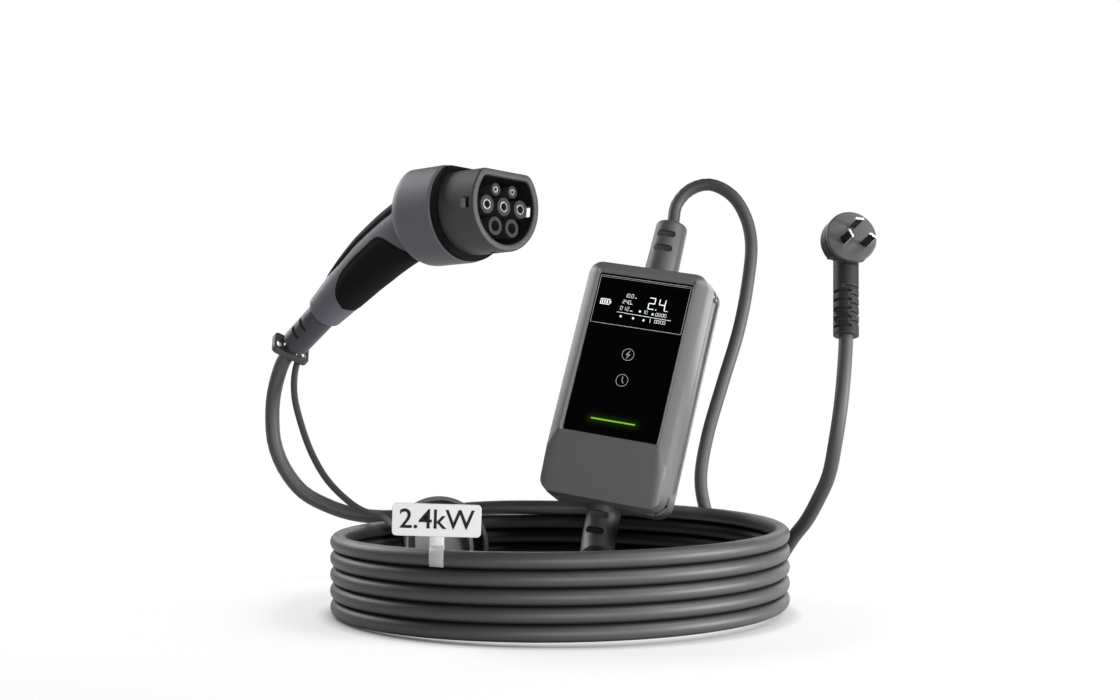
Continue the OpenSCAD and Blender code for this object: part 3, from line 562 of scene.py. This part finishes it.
class EVC_OT_panel_marks(bpy.types.Operator):
    """Markings of the panel: display digits, frame lines and touch keys"""
    bl_idname = "evc.panel_marks"
    bl_label = "Panel marks"

    def execute(self, context):
        self.points, self.faces = [], []
        for text, x, z, style in READINGS:
            self.number(text, x, z, *style)
        for a, b in RULES:
            self.stroke(a, b, RULE_W)
        for centre in DOTS:
            self.ring(centre, DOT_R, DOT_W, DOT_SIDES)
        for x, z, width in UNITS:
            self.stroke((x, z), (x + width, z), UNIT_H)
        self.battery(BATTERY_AT)
        self.build("display_digits", glowing("digit_light", (0.75, 0.78, 0.8), 0.65))
        self.points, self.faces = [], []
        self.loop(FRAME_CORNERS, FRAME_W)
        self.stroke(*INNER_RULE, INNER_RULE_W)
        for centre in KEYS:
            self.ring(centre, KEY_R, KEY_W, KEY_SIDES)
        for a, b in KEY_SIGNS:
            self.stroke(a, b, SIGN_W)
        # painted light: the grey print glows faintly, with no lamp behind it
        self.build("panel_print", glowing("print_painted_glow", (0.36, 0.36, 0.37), 0.28))
        return {"FINISHED"}

    def add(self, outline):
        """One face on the panel, from its outline."""
        start = len(self.points)
        self.points += [BOX @ Vector((x * MM, PRINT_OFF, z * MM)) for x, z in outline]
        self.faces.append(tuple(range(start, start + len(outline))))

    def loop(self, corners, width):
        """Closed line of strokes through corners."""
        for a, b in zip(corners, corners[1:] + corners[:1]):
            self.stroke(a, b, width)

    def stroke(self, a, b, width):
        """Straight line with square ends."""
        a, b = Vector(a), Vector(b)
        along = (b - a).normalized() * (width / 2)
        across = Vector((-along.y, along.x))
        self.add([a - along - across, b + along - across, b + along + across, a - along + across])

    def ring(self, centre, radius, width, count):
        """Round line, its width inside its radius."""
        c = Vector(centre)
        for i in range(count):
            turn = [Vector((math.cos(t), math.sin(t))) for t in (math.tau * i / count, math.tau * (i + 1) / count)]
            self.add([c + turn[0] * (radius - width), c + turn[0] * radius, c + turn[1] * radius,
                      c + turn[1] * (radius - width)])

    def number(self, text, x, z, width, height, line, gap):
        """Digits of seven strokes, with points and colons."""
        for sign in text:
            if sign in DOT_LEVELS:
                dot = x - gap * POINT_BACK
                for level in DOT_LEVELS[sign]:
                    rise = z + level * height
                    self.stroke((dot, rise), (dot + POINT_L, rise), line * POINT_FAT)
                x += gap * POINT_ON
                continue
            for part in SEGMENTS[sign]:
                (ax, az), (bx, bz) = STROKES[part]
                a = Vector((x + ax * width, z + az * height))
                b = Vector((x + bx * width, z + bz * height))
                cut = (b - a).normalized() * line * DIGIT_CUT
                self.stroke(a + cut, b - cut, line)
            x += width + gap

    def battery(self, centre):
        """Outline of a battery with three bars."""
        x, z = centre
        left, right, low, top = x + BATTERY_LEFT, x + BATTERY_RIGHT, z - BATTERY_UP, z + BATTERY_UP
        self.loop(((left, low), (right, low), (right, top), (left, top)), SIGN_W)
        self.stroke((x + POLE_X, z - POLE_UP), (x + POLE_X, z + POLE_UP), POLE_W)
        for i in range(3):
            bar = x + BAR_X + BAR_STEP * i
            self.stroke((bar, z - BAR_UP), (bar, z + BAR_UP), BAR_W)

    def build(self, name, material):
        """Piece of all the faces added so far."""
        link(mesh_object(name, self.points, self.faces, material), "panel_black")


# Vehicle connector, in millimetres in its own frame
SPINE_X, SPINE_A0, SPINE_A1, SPINE_R = -80.0, 17.0, 33.5, 330.0
ARC_L = SPINE_R * math.radians(SPINE_A1 - SPINE_A0)
HANDLE_L = 146.5
HALF_H = ((-14, 25), (40, 23.5), (75, 21.8), (105, 18.8), (130, 16.2), (146.5, 14.6))
HALF_W = ((-14, 22), (40, 20), (75, 19), (105, 17.4), (130, 15.8), (146.5, 14.6))
GRIP_EDGE = ((24, -72), (30, -40), (38, -12), (46, 0), (62, 1), (96, 0), (108, -12), (115, -34), (119, -66))
STRIP_EDGE = ((22, 26), (70, 26), (98, 29), (114, 44), (124, 66))
STRIP_RISE = ((22, 1.4), (98, 1.4), (124, 0.5))
OVAL = 0.88
AXIS_Z = 1.3
OUTLINE_POINTS = 96
HEAD_FRONT, HEAD_L, HEAD_ROUND = -42.0, 50.0, 15.0
HEAD_R, HEAD_FLAT, HEAD_CORNER, LEAST_CORNER = 40.5, 33.0, 12.0, 1.5
HEAD_LIP = ((0.0, 1.2), (-0.35, 0.35), (-1.2, 0.0))
HEAD_BARREL, HEAD_STEPS = (-4.0, -9.0, -14.0, -19.0, -24.0, -29.0), 9
HANDLE_START, HANDLE_STEP, HANDLE_SIDES = -14, 3.0, 72
HANDLE_ENDS = (144.0, 145.4, 146.2, HANDLE_L)
TUCK_FROM, TUCK_RATE = 145.0, 0.45
SHELL_VOXEL, SHELL_ROUNDS = 0.0009, 8

# Soft inserts on the handle: steps along and round, how they round off at their ends and edges, and their depths
PATCH_LONG, PATCH_ROUND = 72, 48
TIP_L, EDGE_STEEP = 2.0, 20
SEAT, GRIP_RISE, PATCH_DEEP = 0.4, 0.45, 2.0
# Black sheets round the inserts, painted shade of their grooves: their rise, depth and reach past each insert
GAP_RISE, GAP_DEEP = 0.16, 1.5
GRIP_GAP, GRIP_GAP_ANGLE = 0.8, 2.4
STRIP_GAP, STRIP_GAP_ANGLE = 0.6, 2


def between(table, s):
    """Value of a table at s, straight between its rows."""
    if s <= table[0][0]:
        return table[0][1]
    for (s0, v0), (s1, v1) in zip(table, table[1:]):
        if s <= s1:
            w = (s - s0) / (s1 - s0)
            return v0 + (v1 - v0) * w
    return table[-1][1]


def eased(table, s):
    """Value of a table at s, on a smooth curve through its rows."""
    rows = [table[0]] + list(table) + [table[-1]]
    for (sa, va), (s0, v0), (s1, v1), (sb, vb) in zip(rows, rows[1:], rows[2:], rows[3:]):
        if s0 <= s <= s1 and s1 > s0:
            w, step = (s - s0) / (s1 - s0), s1 - s0
            m0, m1 = (v1 - va) / (s1 - sa) * step, (vb - v0) / (sb - s0) * step
            return (v0 * (1 + 2 * w) * (1 - w) ** 2 + m0 * w * (1 - w) ** 2 + v1 * w * w * (3 - 2 * w)
                    + m1 * w * w * (w - 1))
    return table[0][1] if s < table[0][0] else table[-1][1]


def spine(s):
    """Point of the handle's spine and the direction up from it."""
    angle = math.radians(min(max(SPINE_A0 + math.degrees(s / SPINE_R), SPINE_A0), SPINE_A1))
    point = Vector((SPINE_X - SPINE_R * (math.sin(angle) - math.sin(math.radians(SPINE_A0))), 0,
                    -SPINE_R * (math.cos(math.radians(SPINE_A0)) - math.cos(angle))))
    rest = s - ARC_L if s > ARC_L else min(s, 0)
    point += rest * Vector((-math.cos(angle), 0, -math.sin(angle)))
    return point, Vector((-math.sin(angle), 0, math.cos(angle)))


def bulge(v):
    """Cosine or sine of an oval that is a little fuller than an ellipse."""
    return math.copysign(abs(v) ** OVAL, v)


def handle_point(s, angle, out):
    """Point on the handle's skin, moved out by a distance."""
    base, up = spine(s)
    a = math.radians(angle)
    return base + Vector((0, (between(HALF_W, s) + out) * bulge(math.cos(a)), 0)) + up * (
        (between(HALF_H, s) + out) * bulge(math.sin(a)))


def d_outline(r, flat, corner):
    """Round outline with a flat top, as points across and up."""
    height = flat - AXIS_Z - corner
    cx = math.sqrt((r - corner) ** 2 - height ** 2)
    lean = math.degrees(math.atan2(height, cx))
    out = []
    steps = OUTLINE_POINTS // 8
    for i in range(steps):
        a = math.radians(lean + (90 - lean) * i / (steps - 1))
        out.append((cx + corner * math.cos(a), AXIS_Z + height + corner * math.sin(a)))
    for i in range(steps):
        a = math.radians(90 + (90 - lean) * i / (steps - 1))
        out.append((-cx + corner * math.cos(a), AXIS_Z + height + corner * math.sin(a)))
    rest = OUTLINE_POINTS - 2 * steps
    for i in range(1, rest + 1):
        a = math.radians(180 - lean + (180 + 2 * lean) * i / (rest + 1))
        out.append((r * math.cos(a), AXIS_Z + r * math.sin(a)))
    return out


def gun_mesh(name, rings, material):
    """Object over rings of points in the connector's frame."""
    points, faces = skinned([[GUN @ (p * MM) for p in ring] for ring in rings])
    return mesh_object(name, points, faces, material)


# Cap's middle and its floor in metres, and how much lighter the middle is painted, a painted highlight where it
# faces the light
CAP_CORE, CAP_FLOOR, CAP_PAINTED_LIGHT = 0.0289, 0.0168, 4.0
# Shares of the connector's colours; the cavity's share is painted shade inside the nozzle
GRIP_TONE, CARRIER_TONE, CAVITY_SHADE, SLEEVE_TONE = 0.15, 0.3, 0.15, 0.42
# Rounding of edges in metres
FINE_EDGE, SEAL_EDGE, BAND_EDGE = 0.0005, 0.0011, 0.0007
# Depths behind the nozzle's face, in metres, where its rim ends and its cavity, painted in shade, starts
RIM_X, CAVITY_X = -0.0002, -0.002
CAVITY_FACING = -0.5


class EVC_OT_connector(bpy.types.Operator):
    """Vehicle connector: shell, grip, strip, nozzle and contacts"""
    bl_idname = "evc.connector"
    bl_label = "Connector"

    def execute(self, context):
        props = context.scene.evc_gun
        shell = shaded("connector_shell", props.shell, 0.5, 1500, 0.0, specular=0.3)
        soft = shaded("grip_rubber", darker(props.black, GRIP_TONE), 0.7, 2600, 0.16, specular=0.06)
        black = shaded("nozzle_plastic", props.black, 0.55, 1600, 0.08, specular=0.35)
        inside = shaded("carrier_plastic", darker(props.black, CARRIER_TONE), 0.6, 1600, 0.08, specular=0.3)
        self.shell(shell)
        self.grip(soft)
        self.strip(shaded("strip_rubber", (0.011, 0.011, 0.0115), 0.7, 2200, 0.1, specular=0.06))

        def at_rim(co):
            return (GUN.inverted() @ co).x > RIM_X

        shroud = softened("nozzle_shroud", "nozzle", 0, black, "nozzle_black", special=(at_rim, props.rim))
        # painted shade: the nozzle's inner walls get a darker copy of its own plastic
        cavity_shade = shaded("cavity_shade_plastic", darker(props.black, CAVITY_SHADE), 0.7, 1600, specular=0.1)
        shroud.data.materials.append(cavity_shade)
        for polygon in shroud.data.polygons:
            middle = GUN.inverted() @ polygon.center
            facing = GUN.inverted().to_3x3() @ polygon.normal
            outward = Vector((0, middle.y, middle.z - AXIS_Z * MM)).normalized()
            polygon.material_index = int(facing.dot(outward) < CAVITY_FACING and middle.x < CAVITY_X)
        softened("contact_towers", "contact_carrier", FINE_EDGE, inside, "nozzle_black")
        ring = shaded("seal_rubber", (0.006, 0.006, 0.0062), 0.7, 2000, specular=0.05)
        softened("seal_ring", "nozzle_seal", SEAL_EDGE, ring, "soft_black", segments=3)
        metal = shaded("contact_metal", (0.5, 0.49, 0.465), 0.3, 900, 0.02, metallic=1.0)
        dressed("power_contacts", metal)
        dressed("signal_contacts", metal)
        sleeve = shaded("relief_shell", darker(props.shell, SLEEVE_TONE), 0.5, 1500, 0.0, specular=0.3)
        softened("connector_relief", "gun_relief", FINE_EDGE, sleeve, "shell_blue_grey")
        band = shaded("band_rubber", (0.04, 0.04, 0.041), 0.55)
        softened("tether_band", "tether_ring", BAND_EDGE, band, "soft_black")
        dressed("dust_cap", self.cap_rubber())
        return {"FINISHED"}

    def cap_rubber(self):
        """Rubber of the cap, painted lighter on the plug in its middle, where it faces the light."""
        material = shaded("cap_rubber", (0.07, 0.07, 0.071), 0.55, specular=0.3)
        tree = material.node_tree
        x, y, z = place_axes(tree, CAP)
        # painted light: the cap's middle is drawn lighter where it faces the light
        lit_core = math_node(tree, "MULTIPLY", math_node(tree, "LESS_THAN", from_axis(tree, x, z), CAP_CORE),
                         math_node(tree, "LESS_THAN", y, CAP_FLOOR))
        toned(tree, math_node(tree, "ADD", math_node(tree, "MULTIPLY", lit_core, CAP_PAINTED_LIGHT), 1.0))
        return material

    def shell(self, material):
        """Head and handle, melted into one housing."""
        profile = [*HEAD_LIP, *((x, 0.0) for x in HEAD_BARREL)]
        for i in range(HEAD_STEPS + 1):
            a = math.radians(90 * i / HEAD_STEPS)
            profile.append((-(HEAD_L - HEAD_ROUND + HEAD_ROUND * math.sin(a)), HEAD_ROUND * (1 - math.cos(a))))
        head = []
        for x, inset in profile:
            outline = d_outline(HEAD_R - inset, HEAD_FLAT - inset, max(HEAD_CORNER - inset, LEAST_CORNER))
            head.append([Vector((HEAD_FRONT + x, y, z)) for y, z in outline])
        count = int((HANDLE_L - HANDLE_START) / HANDLE_STEP)
        stations = sorted({*(HANDLE_START + HANDLE_STEP * i for i in range(count)), *HANDLE_ENDS})
        handle = []
        for s in stations:
            tuck = max(0.0, s - TUCK_FROM) ** 2 * TUCK_RATE
            handle.append([handle_point(s, 360 * j / HANDLE_SIDES, -tuck) for j in range(HANDLE_SIDES)])
        first, faces = skinned(head)
        second, more = skinned(handle)
        points = [GUN @ (p * MM) for p in first + second]
        faces += [tuple(i + len(first) for i in face) for face in more]
        obj = mesh_object("connector_housing", points, faces, material)
        link(obj, "shell_blue_grey", "gun_shell_left", "gun_shell_right")
        melt(obj, SHELL_VOXEL, SHELL_ROUNDS)

    def patch(self, ends, low, high, proud, deep, flat=False):
        """Rings of a soft insert that lies on the handle's skin between two edge angles."""
        start, stop = ends
        rings = []
        for i in range(PATCH_LONG + 1):
            s = start + (stop - start) * i / PATCH_LONG
            tip = math.sqrt(max(0.0, min(1.0, (s - start) / TIP_L, (stop - s) / TIP_L)))
            a, b = low(s), high(s)
            outer, inner = [], []
            for j in range(PATCH_ROUND + 1):
                w = j / PATCH_ROUND
                rim = math.sqrt(min(1.0, w * EDGE_STEEP, (1 - w) * EDGE_STEEP))
                rise = 1 if flat else rim * tip
                outer.append(handle_point(s, a + (b - a) * w, -SEAT + (proud(s) + SEAT) * rise))
                inner.append(handle_point(s, a + (b - a) * (1 - w), -deep))
            rings.append(outer + inner)
        return rings

    def gap(self, name, ends, low, high):
        """Black sheet round a soft insert, painted shade of the groove round it."""
        rings = self.patch(ends, low, high, lambda s: GAP_RISE, GAP_DEEP, True)
        # painted shade: a black sheet stands for the shadow in the groove round the insert
        black = shaded("gap_shade", (0.003, 0.003, 0.003), 0.8, 900, specular=0.1)
        link(gun_mesh(name, rings, black), "soft_black")

    def grip(self, material):
        """Soft grip round the handle's sides and underside."""
        start, stop = GRIP_EDGE[0][0], GRIP_EDGE[-1][0]
        rings = self.patch((start, stop), lambda s: -180 - eased(GRIP_EDGE, s), lambda s: eased(GRIP_EDGE, s),
                           lambda s: GRIP_RISE, PATCH_DEEP)
        link(gun_mesh("grip_pad", rings, material), "soft_black", "grip")
        self.gap("grip_gap", (start - GRIP_GAP, stop + GRIP_GAP),
                 lambda s: -180 - GRIP_GAP_ANGLE - eased(GRIP_EDGE, s),
                 lambda s: GRIP_GAP_ANGLE + eased(GRIP_EDGE, s))

    def strip(self, material):
        """Raised strip along the handle's back."""
        start, stop = STRIP_EDGE[0][0], STRIP_EDGE[-1][0]
        rings = self.patch((start, stop), lambda s: eased(STRIP_EDGE, s), lambda s: 180 - eased(STRIP_EDGE, s),
                           lambda s: between(STRIP_RISE, s), PATCH_DEEP)
        link(gun_mesh("handle_strip", rings, material), "soft_black", "top_strip")
        self.gap("strip_gap", (start - STRIP_GAP, stop + STRIP_GAP),
                 lambda s: eased(STRIP_EDGE, s) - STRIP_GAP_ANGLE,
                 lambda s: 180 + STRIP_GAP_ANGLE - eased(STRIP_EDGE, s))


# Plug, in metres in its own frame: the disc, its rounded back and the neck under it
PLUG_R, PLUG_ROUND, PLUG_BACK = 0.0195, 0.006, 0.020
NECK_R, NECK_Y = 0.0095, 0.013
NECK_TOP, NECK_END = -0.013, -0.0372
NECK_ROUNDS = 8
PLUG_VOXEL, PLUG_ROUNDS = 0.00045, 6
BLADE_EDGE = 0.00035
FLAT_AREA = 40e-6  # faces of a blade over this area are its flats


class EVC_OT_plug(bpy.types.Operator):
    """Mains plug on its lead"""
    bl_idname = "evc.plug"
    bl_label = "Mains plug"

    def execute(self, context):
        body = shaded("plug_plastic", (0.02, 0.02, 0.0205), 0.5, 1500, 0.08, specular=0.22)
        housing = softened("plug_housing", "plug_body", 0, body, "cable_grey")
        front = shaded("plug_front", (0.045, 0.045, 0.046), 0.5)
        made = [housing, softened("plug_disc", "plug_face", FINE_EDGE, front, "cable_grey", angle=35)]
        melt(housing, PLUG_VOXEL, PLUG_ROUNDS)
        self.slim_neck(housing.data)
        # painted highlight and reflection: the blades' one plated steel is drawn bright on their edges and dark on
        # their flats
        edges = shaded("pin_edge_highlight", (0.92, 0.92, 0.92), 0.25, 700, 0.0, metallic=0.8)
        shaded_flats = shaded("pin_flat_shade", (0.05, 0.05, 0.052), 0.15, 700, 0.0, metallic=1.0)
        for name, node in (("blade_pair", "line_pins"), ("earth_blade", "earth_pin")):
            blade = softened(name, node, BLADE_EDGE, edges, "plated_steel")
            blade.data.materials.append(shaded_flats)
            for polygon in blade.data.polygons:
                polygon.material_index = int(polygon.area > FLAT_AREA)
            made.append(blade)
        return {"FINISHED"}

    def slim_neck(self, mesh):
        """Draws the neck in under the disc to the width of its sleeve, and rounds it."""
        to_plug = PLUG.inverted()
        bm = bmesh.new()
        bm.from_mesh(mesh)
        neck = []
        for vert in bm.verts:
            point = to_plug @ vert.co
            if NECK_END < point.z < NECK_TOP:
                past = min(PLUG_ROUND, max(0.0, point.y - PLUG_BACK + PLUG_ROUND))
                disc = PLUG_R - PLUG_ROUND + math.sqrt(PLUG_ROUND ** 2 - past ** 2)
                reach = math.hypot(point.x, point.y - NECK_Y) / NECK_R
                if math.hypot(point.x, point.z) > disc and (reach > 1 or point.z < -PLUG_R):
                    point.x /= reach
                    point.y = NECK_Y + (point.y - NECK_Y) / reach
                    vert.co = PLUG @ point
                    neck.append(vert)
        for _ in range(NECK_ROUNDS):
            bmesh.ops.smooth_vert(bm, verts=neck, factor=0.5, use_axis_x=True, use_axis_y=True, use_axis_z=True)
        bm.to_mesh(mesh)
        bm.free()


# Tag and clip, in millimetres and degrees in the tag's frame; edges and ink in metres
CLIP_R, CLIP_T, CLIP_HALF = 6.3, 1.4, 5
CLIP_START, CLIP_END, CLIP_STEP = -55, 150, 5
TAG_EDGE, CLIP_EDGE = 0.0003, 0.00025
STEM_TOP = 15
TAG_T, TAG_GAP, TAG_MIDDLE, TAG_TILT = 1.8, 0.01, 25, -1.7
INK_OFF = 0.05
INK_SIZE, INK_T, INK_BOLD = 0.0185, 0.00005, 0.00018


class EVC_OT_tag(bpy.types.Operator):
    """Rating tag on its clip"""
    bl_idname = "evc.tag"
    bl_label = "Tag"

    def execute(self, context):
        white = shaded("tag_plastic", (0.56, 0.565, 0.575), 0.4, 300, 0.01, 0.02)
        softened("tag_card", "tag_plate", TAG_EDGE, white, "tag_white")
        grey = shaded("clip_plastic", (0.5, 0.505, 0.51), 0.4, 300, 0.01, 0.02)
        link(self.strap(grey), "tag_white", "tag_clip")
        curve = bpy.data.curves.new("tag_value", "FONT")
        curve.body = "2.4kW"
        curve.size = INK_SIZE
        curve.align_x = "CENTER"
        curve.align_y = "CENTER"
        curve.extrude = INK_T
        curve.offset = INK_BOLD
        curve.materials.append(shaded("tag_ink", (0.012, 0.012, 0.013), 0.6, 700, specular=0.1))
        text = bpy.data.objects.new("tag_value", curve)
        upright = Matrix(((0, 0, 1, 0), (1, 0, 0, 0), (0, 1, 0, 0), (0, 0, 0, 1)))
        face = placed((CLIP_T / 2 + TAG_GAP + TAG_T + INK_OFF, 0, TAG_MIDDLE))
        text.matrix_world = TAG @ face @ upright @ Matrix.Rotation(math.radians(TAG_TILT), 4, "Z")
        link(text, "tag_white")
        return {"FINISHED"}

    def strap(self, material):
        """Band over the top turn of the cable and its stem, both cut square to the tag's face."""
        turn = math.radians(TAG_TURN)
        rings = []
        for degrees in range(CLIP_START, CLIP_END + 1, CLIP_STEP):
            c, s = math.cos(math.radians(degrees)), math.sin(math.radians(degrees))
            rings.append([(r * c / math.cos(turn) + y * math.tan(turn), y, r * s)
                          for r, y in ((CLIP_R, -CLIP_HALF), (CLIP_R + CLIP_T, -CLIP_HALF),
                                       (CLIP_R + CLIP_T, CLIP_HALF), (CLIP_R, CLIP_HALF))])
        points, faces = skinned(rings)
        half = CLIP_T / 2
        stem, sides = skinned([[(x, y, z) for x, y in ((-half, -CLIP_HALF), (half, -CLIP_HALF),
                                                       (half, CLIP_HALF), (-half, CLIP_HALF))]
                               for z in (CLIP_R + half, STEM_TOP + half)])
        faces += [tuple(i + len(points) for i in side) for side in sides]
        obj = mesh_object("tag_strap", [TAG @ (Vector(p) * MM) for p in points + stem], faces, material)
        bm = bmesh.new()
        bm.from_mesh(obj.data)
        bmesh.ops.recalc_face_normals(bm, faces=bm.faces)
        rounded(bm, [e for e in bm.edges if e.calc_face_angle(0) > math.radians(RIDGE)], CLIP_EDGE, 2)
        bm.to_mesh(obj.data)
        bm.free()
        finish_normals(obj.data, SHARP)
        return obj


# Camera: width of its sensor in millimetres, and its place in metres
SENSOR = 36
EYE = (0, -1.35, 0.1965)
# Softboxes: place, target, width, height and share of the key's power
LIGHTS = (("key", (1.5, -0.55, 0.14), (0, 0, 0.15), 1.1, 0.2, 1.0),
          ("front", (0.25, -1.75, 0.1), (0, 0, 0.12), 1.4, 0.16, 0.55),
          ("left", (-1.15, 0.8, 0.93), (0, 0, 0.15), 0.9, 0.9, 0.48),
          ("right", (0.9, 1.15, 0.35), (0, 0, 0.15), 0.5, 0.9, 0.1),
          ("above", (1.1, -0.5, 1.3), (0, 0, 0.1), 0.9, 0.9, 0.42),
          ("back", (0.0, 1.7, 0.8), (0, 0, 0.1), 2.2, 0.5, 0.3))
# Floor: half its width, its glow, how far a painted contact shadow darkens it round what stands on it, and where
# it fades to white
FLOOR_HALF, FLOOR_GLOW = 6.0, 0.56
CONTACT_REACH, CONTACT_FALL = 0.014, 1.5
FADE_START, FADE_END = 0.45, 0.95
FLOOR_DULL = (0.16, 0.16, 0.16, 1)


class EVC_OT_stage(bpy.types.Operator):
    """Camera, floor and studio light"""
    bl_idname = "evc.stage"
    bl_label = "Stage"

    def execute(self, context):
        props = context.scene.evc_stage
        scene = context.scene
        camera = bpy.data.cameras.new("camera")
        camera.lens = props.lens
        camera.sensor_width = SENSOR
        eye = bpy.data.objects.new("camera", camera)
        eye.location = EYE
        eye.rotation_euler = (math.radians(90), 0, 0)
        scene.collection.objects.link(eye)
        scene.camera = eye
        scene.view_settings.view_transform = "Standard"
        self.world(scene, props)
        self.floor(scene)
        for name, place, target, width, height, share in LIGHTS:
            light = bpy.data.lights.new(name, "AREA")
            light.shape = "RECTANGLE"
            light.size = width
            light.size_y = height
            light.energy = props.key * share
            lamp = bpy.data.objects.new(name, light)
            lamp.visible_camera = False
            lamp.location = place
            lamp.rotation_euler = (Vector(target) - Vector(place)).to_track_quat("-Z", "Y").to_euler()
            scene.collection.objects.link(lamp)
        return {"FINISHED"}

    def world(self, scene, props):
        """Dim light from all round, and white where the camera sees past the floor."""
        world = bpy.data.worlds.new("studio")
        scene.world = world
        world.use_nodes = True
        tree = world.node_tree
        tree.nodes.clear()
        out = tree.nodes.new("ShaderNodeOutputWorld")
        mix = tree.nodes.new("ShaderNodeMixShader")
        ray = tree.nodes.new("ShaderNodeLightPath")
        soft = node_of(tree, "ShaderNodeBackground", Color=WHITE, Strength=props.ambient)
        seen = node_of(tree, "ShaderNodeBackground", Color=WHITE, Strength=1.0)
        tree.links.new(ray.outputs["Is Camera Ray"], mix.inputs["Fac"])
        tree.links.new(soft.outputs["Background"], mix.inputs[1])
        tree.links.new(seen.outputs["Background"], mix.inputs[2])
        tree.links.new(mix.outputs["Shader"], out.inputs["Surface"])

    def floor(self, scene):
        """Pale floor that takes the shadow, has a painted contact shadow round what stands on it, fades to white
        and throws little light back at the object.
        """
        mesh = bpy.data.meshes.new("floor")
        s = FLOOR_HALF
        mesh.from_pydata([(-s, -s, 0), (s, -s, 0), (s, s, 0), (-s, s, 0)], [], [(0, 1, 2, 3)])
        material = shaded("floor_paint", (0.5, 0.5, 0.5), 0.8, 40, 0.0, 0.01, specular=0.0)
        tree = material.node_tree
        shader = tree.nodes["Principled BSDF"]
        shader.inputs["Emission Color"].default_value = WHITE
        # painted shadow: the floor's glow is dimmed where it is hemmed in by what stands on it
        near = node_of(tree, "ShaderNodeAmbientOcclusion", Distance=CONTACT_REACH)
        contact_shadow = math_node(tree, "POWER", near.outputs["AO"], CONTACT_FALL)
        tree.links.new(math_node(tree, "MULTIPLY", contact_shadow, FLOOR_GLOW), shader.inputs["Emission Strength"])
        place = next(n for n in tree.nodes if n.type == "TEX_COORD")
        away = tree.nodes.new("ShaderNodeVectorMath")
        away.operation = "LENGTH"
        tree.links.new(place.outputs["Object"], away.inputs[0])
        fade = node_of(tree, "ShaderNodeMapRange", From_Min=FADE_START, From_Max=FADE_END)
        tree.links.new(away.outputs["Value"], fade.inputs["Value"])
        white = node_of(tree, "ShaderNodeEmission", Color=WHITE, Strength=1.0)
        far = tree.nodes.new("ShaderNodeMixShader")
        tree.links.new(fade.outputs["Result"], far.inputs["Fac"])
        tree.links.new(shader.outputs["BSDF"], far.inputs[1])
        tree.links.new(white.outputs["Emission"], far.inputs[2])
        dull = node_of(tree, "ShaderNodeBsdfDiffuse", Color=FLOOR_DULL)
        ray = tree.nodes.new("ShaderNodeLightPath")
        seen = tree.nodes.new("ShaderNodeMixShader")
        bright = math_node(tree, "MAXIMUM", ray.outputs["Is Camera Ray"], ray.outputs["Is Glossy Ray"])
        tree.links.new(bright, seen.inputs["Fac"])
        tree.links.new(dull.outputs["BSDF"], seen.inputs[1])
        tree.links.new(far.outputs["Shader"], seen.inputs[2])
        tree.links.new(seen.outputs["Shader"], tree.nodes["Material Output"].inputs["Surface"])
        mesh.materials.append(material)
        floor = bpy.data.objects.new("floor", mesh)
        scene.collection.objects.link(floor)


class EVC_PT_panel(bpy.types.Panel):
    """Sizes, colours and steps of the charger"""
    bl_idname = "EVC_PT_panel"
    bl_label = "Portable EV charger"
    bl_space_type = "VIEW_3D"
    bl_region_type = "UI"
    bl_category = "Charger"

    def draw(self, context):
        scene = context.scene
        for name, kind in GROUPS.items():
            box = self.layout.box()
            for key in kind.__annotations__:
                box.prop(getattr(scene, name), key)
        for step in STEPS:
            self.layout.operator(step.bl_idname)


GROUPS = {"evc_cable": EVC_CableProps, "evc_box": EVC_BoxProps, "evc_gun": EVC_GunProps,
          "evc_stage": EVC_StageProps}
STEPS = (EVC_OT_stage, EVC_OT_cables, EVC_OT_control_box, EVC_OT_panel_marks, EVC_OT_connector, EVC_OT_plug,
         EVC_OT_tag)
CLASSES = (*GROUPS.values(), *STEPS, EVC_PT_panel)


def register():
    """Registers the classes and hangs the property groups on the scene."""
    for item in CLASSES:
        bpy.utils.register_class(item)
    for name, group in GROUPS.items():
        setattr(bpy.types.Scene, name, bpy.props.PointerProperty(type=group))


def unregister():
    """Takes back what register does."""
    for name in GROUPS:
        delattr(bpy.types.Scene, name)
    for item in reversed(CLASSES):
        bpy.utils.unregister_class(item)


def main():
    """Runs every step in order."""
    register()
    for step in STEPS:
        if getattr(bpy.ops.evc, step.bl_idname.split(".")[1])() != {"FINISHED"}:
            raise RuntimeError(step.bl_label + " did not finish")
    bpy.context.view_layer.update()


if __name__ == "__main__":
    main()
